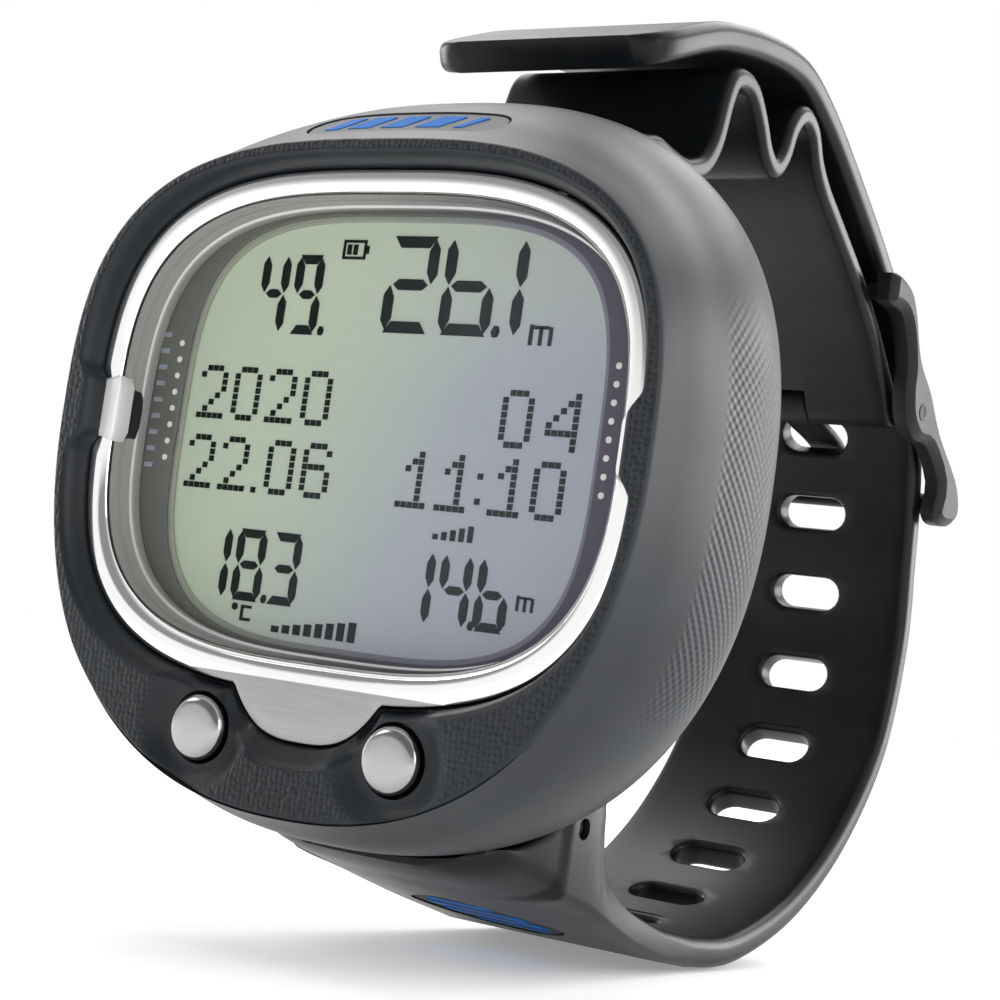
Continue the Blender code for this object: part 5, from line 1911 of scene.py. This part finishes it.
# ---- Buckle ----
@dataclass
class Buckle:
    """The moulded frame: two bevelled cheeks, two bars and the bosses of its pin."""

    inner: float = 13.2
    outer: float = 15.6
    lower_bar: Flat = (95.3, 8.0)
    upper_bar: Flat = (73.4, 28.0)
    outline: tuple[Flat, ...] = (
        (70.9, 29.6), (75.4, 29.4), (78.0, 27.0), (80.6, 22.6), (84.6, 19.6), (88.6, 15.6), (94.9, 11.4),
        (97.0, 8.2),
        (96.2, 6.0), (92.6, 5.4), (90.6, 6.6), (91.0, 10.0), (86.4, 13.4), (82.6, 13.6), (79.8, 15.4),
        (78.6, 18.4),
        (78.4, 21.0), (76.6, 24.6), (74.4, 26.2), (70.9, 26.6))

    def cheek(self, side: int) -> bpy.types.Object:
        """One cheek with rounded edges.

        Args:
            side: -1 or 1, the side it is on.

        Returns:
            The finished piece.
        """
        closed = [*self.outline[-2:], *self.outline, *self.outline[:2]]
        smooth = smooth_path(closed, 3)[6:-6]
        rows = []
        for x, inset in ((self.inner, 0.25), (self.inner + 0.12, 0.07), (self.inner + 0.35, 0.0),
                         (self.outer - 0.8, 0.0), (self.outer - 0.7, 0.06), (self.outer - 0.08, 0.8),
                         (self.outer, 0.95)):
            rows.append([(side * x, y, z) for y, z in inset_loop(smooth, inset)])
        return skin(f"cheek_{side}", rows, [Palette.BUCKLE], degrees=28)

    def build(self) -> bpy.types.Object:
        """Make the frame as one mesh of its mouldings.

        Returns:
            The finished piece.
        """
        pieces = [self.cheek(side) for side in (-1, 1)]
        for place, radius in ((self.lower_bar, 1.2), (self.upper_bar, 0.9)):
            reach = self.inner + 0.8
            pieces.append(rod("bar", (-reach, *place), (reach, *place), radius, [Palette.BUCKLE]))
        for side in (-1, 1):
            rows = []
            for x, r in ((self.outer - 0.4, 0.95), (self.outer + 0.03, 0.95), (self.outer + 0.08, 0.85),
                         (self.outer + 0.03, 0.6), (self.outer - 0.3, 0.55), (self.outer - 0.4, 0.55)):
                rows.append([(side * x, STRAP.buckle_pin[0] + r * math.cos(2 * math.pi * i / 40),
                              STRAP.buckle_pin[1] + r * math.sin(2 * math.pi * i / 40)) for i in range(40)])
            pieces.append(skin("boss", rows, [Palette.BUCKLE], joined=True))
        return merged("buckle_moulding", pieces)


def inset_loop(loop: Sequence[Flat], by: float) -> list[Flat]:
    """A closed loop moved inwards along its local normals.

    Args:
        loop: the loop.
        by: distance inwards.

    Returns:
        The smaller loop.
    """
    area = sum(a[0] * b[1] - b[0] * a[1] for a, b in zip(loop, [*loop[1:], loop[0]]))
    turn = 1 if area > 0 else -1
    found = []
    for i, (x, y) in enumerate(loop):
        before, after = Vector(loop[i - 1]), Vector(loop[(i + 1) % len(loop)])
        along = (after - before).normalized()
        found.append((x - turn * along.y * by, y + turn * along.x * by))
    return found


@dataclass
class Prong:
    """The curved tongue of the buckle on its hub."""

    thickness: float = 1.2
    half: float = 2.3
    centre: tuple[Flat, ...] = ((83.4, 16.1), (86.6, 15.2), (89.9, 14.45), (92.8, 13.5), (95.4, 11.9),
            (97.2, 9.9),
                                (97.8, 8.5))

    def build(self) -> bpy.types.Object:
        """Make finger and hub.

        Returns:
            The finished piece.
        """
        path = smooth_path(self.centre, 5)
        stations = stations_along(path, lambda share: -self.thickness * (1 - 0.35 * share),
                                  lambda share: self.half * (1 - 0.15 * share), 0.45)
        finger = skin("finger", [s.loop() for s in stations], [Palette.BUCKLE], degrees=50)
        hub = rod("hub", (-self.half, *STRAP.buckle_pin), (self.half, *STRAP.buckle_pin), 2.0,
                  [Palette.BUCKLE], 0.3)
        return merged("prong_tongue", [finger, hub])


# ---- Everything carried over from the model ----
INSIDE: dict[str, Palette] = {
    "lcd_panel": Palette.LCD, "lcd_holder": Palette.WHITE, "backlight_plate": Palette.WHITE,
    "zebra_strip": Palette.SEAL, "circuit_board": Palette.BOARD, "switch_": Palette.PIN,
    "battery_contact": Palette.BRASS,
    "battery_cover_o": Palette.SEAL, "battery_cover": Palette.BACK, "battery": Palette.PIN,
    "buzzer": Palette.BACK,
    "pressure_sensor": Palette.PIN, "sensor_port_cover": Palette.BACK, "case_back_gasket": Palette.SEAL,
    "case_back": Palette.BACK, "case_screw": Palette.PIN, "water_contact": Palette.BUTTON,
    "button_spring": Palette.PIN,
    "button_o_ring": Palette.SEAL, "button_clip": Palette.PIN, "button_bush": Palette.BRASS,
    "lens_gasket": Palette.SEAL,
    "strap_pin": Palette.PIN, "buckle_pin": Palette.PIN}


def dress_carried_nodes() -> None:
    """Give every node that stays visible its finish."""
    for name, node in frame["nodes"].items():
        if node.hide_render:
            continue
        for start, finish in INSIDE.items():
            if name.startswith(start):
                node.data.materials.clear()
                node.data.materials.append(material(finish))
                break
        else:
            LOG.warning("%s has no finish of its own", name)


# ---- Studio ----
@dataclass
class Studio:
    """Pale floor, soft lamps and the camera."""

    camera_place: Point = (110.0, -144.75, -18.37)
    azimuth: float = 33.0
    elevation: float = -4.45
    roll: float = 8.2
    lens: float = 80.14
    floor_height: float = -0.0003

    def camera(self) -> None:
        """Set the camera up."""
        a, e, r = (math.radians(v) for v in (self.azimuth, self.elevation, self.roll))
        back = Vector((math.sin(a) * math.cos(e), -math.cos(a) * math.cos(e), math.sin(e)))
        level = Vector((math.cos(a), math.sin(a), 0.0))
        upright = level.cross(-back)
        right = math.cos(r) * level + math.sin(r) * upright
        above = -math.sin(r) * level + math.cos(r) * upright
        data = bpy.data.cameras.new("camera")
        data.lens, data.sensor_width = self.lens, 36.0
        data.clip_start, data.clip_end = 0.005, 50.0
        item = bpy.data.objects.new("camera", data)
        matrix = Matrix((right, above, back)).transposed().to_4x4()
        matrix.translation = metres(self.camera_place)
        item.matrix_world = matrix
        bpy.context.scene.collection.objects.link(item)
        bpy.context.scene.camera = item

    def lamp(self, name: str, place: Point, size: Flat, power: float) -> None:
        """A soft area lamp aimed at the computer.

        Args:
            name: its name.
            place: where it hangs, in metres.
            size: its width and height in metres.
            power: watts.
        """
        data = bpy.data.lights.new(name, "AREA")
        data.shape, data.size, data.size_y, data.energy = "RECTANGLE", size[0], size[1], power
        item = bpy.data.objects.new(name, data)
        target = Vector((0.0, 0.0, 0.04))
        item.matrix_world = (Matrix.Translation(place) @
                             (target - Vector(place)).to_track_quat("-Z", "Y").to_matrix().to_4x4())
        bpy.context.scene.collection.objects.link(item)

    def shade_world(self, tree: bpy.types.NodeTree) -> None:
        """White surroundings, with a grey sky in front of the dial that its metal mirrors.

        Args:
            tree: the world's nodes.
        """
        split = tree.nodes.new("ShaderNodeSeparateXYZ")
        tree.links.new(tree.nodes.new("ShaderNodeTexCoord").outputs["Generated"], split.inputs[0])
        shares = []
        for axis, low, high in (("Z", 0.10, 0.26), ("Y", -0.15, -0.6)):
            ramp = tree.nodes.new("ShaderNodeMapRange")
            ramp.interpolation_type = "SMOOTHSTEP"
            tree.links.new(split.outputs[axis], ramp.inputs["Value"])
            ramp.inputs["From Min"].default_value, ramp.inputs["From Max"].default_value = low, high
            shares.append(Value(tree, ramp.outputs[0]))
        strength = 1 - shares[0] * shares[1] * 0.72
        tree.links.new(strength.socket, tree.nodes["Background"].inputs["Strength"])
        tree.nodes["Background"].inputs["Color"].default_value = (1.0, 1.0, 1.0, 1.0)

    def build(self) -> None:
        """Make floor, lamps, surroundings and camera."""
        profile = ((2.4, 0.0), (6.0, 0.0), (7.0, 0.02))
        steps = 96
        verts = [(0.0, 0.0, self.floor_height)]
        for radius, height in profile:
            verts += [(radius * math.cos(2 * math.pi * i / steps), radius * math.sin(2 * math.pi * i / steps),
                       self.floor_height + height) for i in range(steps)]
        faces = [(0, 1 + i, 1 + (i + 1) % steps) for i in range(steps)]
        for r in range(len(profile) - 1):
            low, high = 1 + r * steps, 1 + (r + 1) * steps
            faces += [(low + i, high + i, high + (i + 1) % steps, low + (i + 1) % steps)
                      for i in range(steps)]
        mesh = bpy.data.meshes.new("floor")
        mesh.from_pydata(verts, [], faces)
        mesh.shade_smooth()
        floor = object_from("floor", mesh, [Palette.FLOOR])
        floor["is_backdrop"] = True
        world = bpy.data.worlds.new("studio")
        world.use_nodes = True
        self.shade_world(world.node_tree)
        bpy.context.scene.world = world
        bpy.context.scene.view_settings.view_transform = "Standard"
        self.lamp("key", (0.05, 0.95, 1.0), (1.0, 0.5), 7.0)
        self.lamp("top", (-0.72, 0.5, 1.0), (0.6, 0.6), 3.2)
        self.lamp("side", (0.75, 1.2, 0.35), (0.8, 0.7), 15.0)
        self.lamp("left", (-1.2, 0.12, 0.12), (0.5, 0.7), 8.0)
        self.lamp("right", (1.1, -0.3, 0.35), (0.6, 0.6), 3.0)
        self.lamp("fill", (-1.0, -0.7, 0.7), (0.4, 0.4), 2.0)
        self.camera()


def build_case() -> None:
    """The case with its inlay and lugs."""
    body = CaseBody()
    case = body.build()
    inlay = TopInlay(body)
    case = cut(case, [inlay.recess()], degrees=42)
    settle(case, "case", "case_rubber", "case_body")
    settle(inlay.build(), "case", "blue_print", "top_inlay")
    for name, pin in (("lug_upper", STRAP.upper_pin), ("lug_lower", STRAP.lower_pin)):
        settle(lug(name, pin), "case", "case_rubber")


def build_face() -> None:
    """Bezel, window, clip, display and buttons."""
    settle(BezelRing().build(), "case", "bezel_steel", "bezel_ring")
    window = LensWindow()
    settle(window.plate(), "case", "lens_clear", "lens")
    settle(window.wall(), "case", "lens_clear")
    settle(window.joint(), "case", "seal_rubber")
    clip, notch = BezelClip().build()
    # Painted highlight: the clip is whitened for the glare on it.
    settle(clip, "case", "lens_clear", "bezel_clip")
    # The notch piece is a black plate of painted shade.
    settle(notch, "case", "display_print")
    DisplayFace().build()
    for side, x in (("left", -FACE.button_x), ("right", FACE.button_x)):
        settle(PushButton(side, x).build(), f"button_{side}", "button_steel", f"button_{side}")


def build_strap() -> None:
    """Both straps, the buckle and its prong."""
    settle(UpperStrap().build(), "case", "strap_rubber", "strap_upper")
    lower = LowerStrap()
    settle(lower.build(), "case", "strap_rubber", "strap_lower")
    settle(lower.inlay(), "case", "blue_print", "bottom_inlay")
    settle(Buckle().build(), "buckle", "black_plastic", "buckle_frame")
    settle(Prong().build(), "prong", "black_plastic", "prong")


def main() -> None:
    """Build every piece in order, then the studio, and work out both boxes."""
    logging.basicConfig(level=logging.INFO, format="%(message)s")
    build_case()
    build_face()
    build_strap()
    dress_carried_nodes()
    Studio().build()
    {"cad": plain_box(CAD_BOX), "visual": plain_box(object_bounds())}


def plain_box(box: Iterable) -> list:
    """A box as plain lists of numbers."""
    return [[float(v) for v in corner] if hasattr(corner, "__len__") else float(corner) for corner in box]


if __name__ == "__main__":
    main()
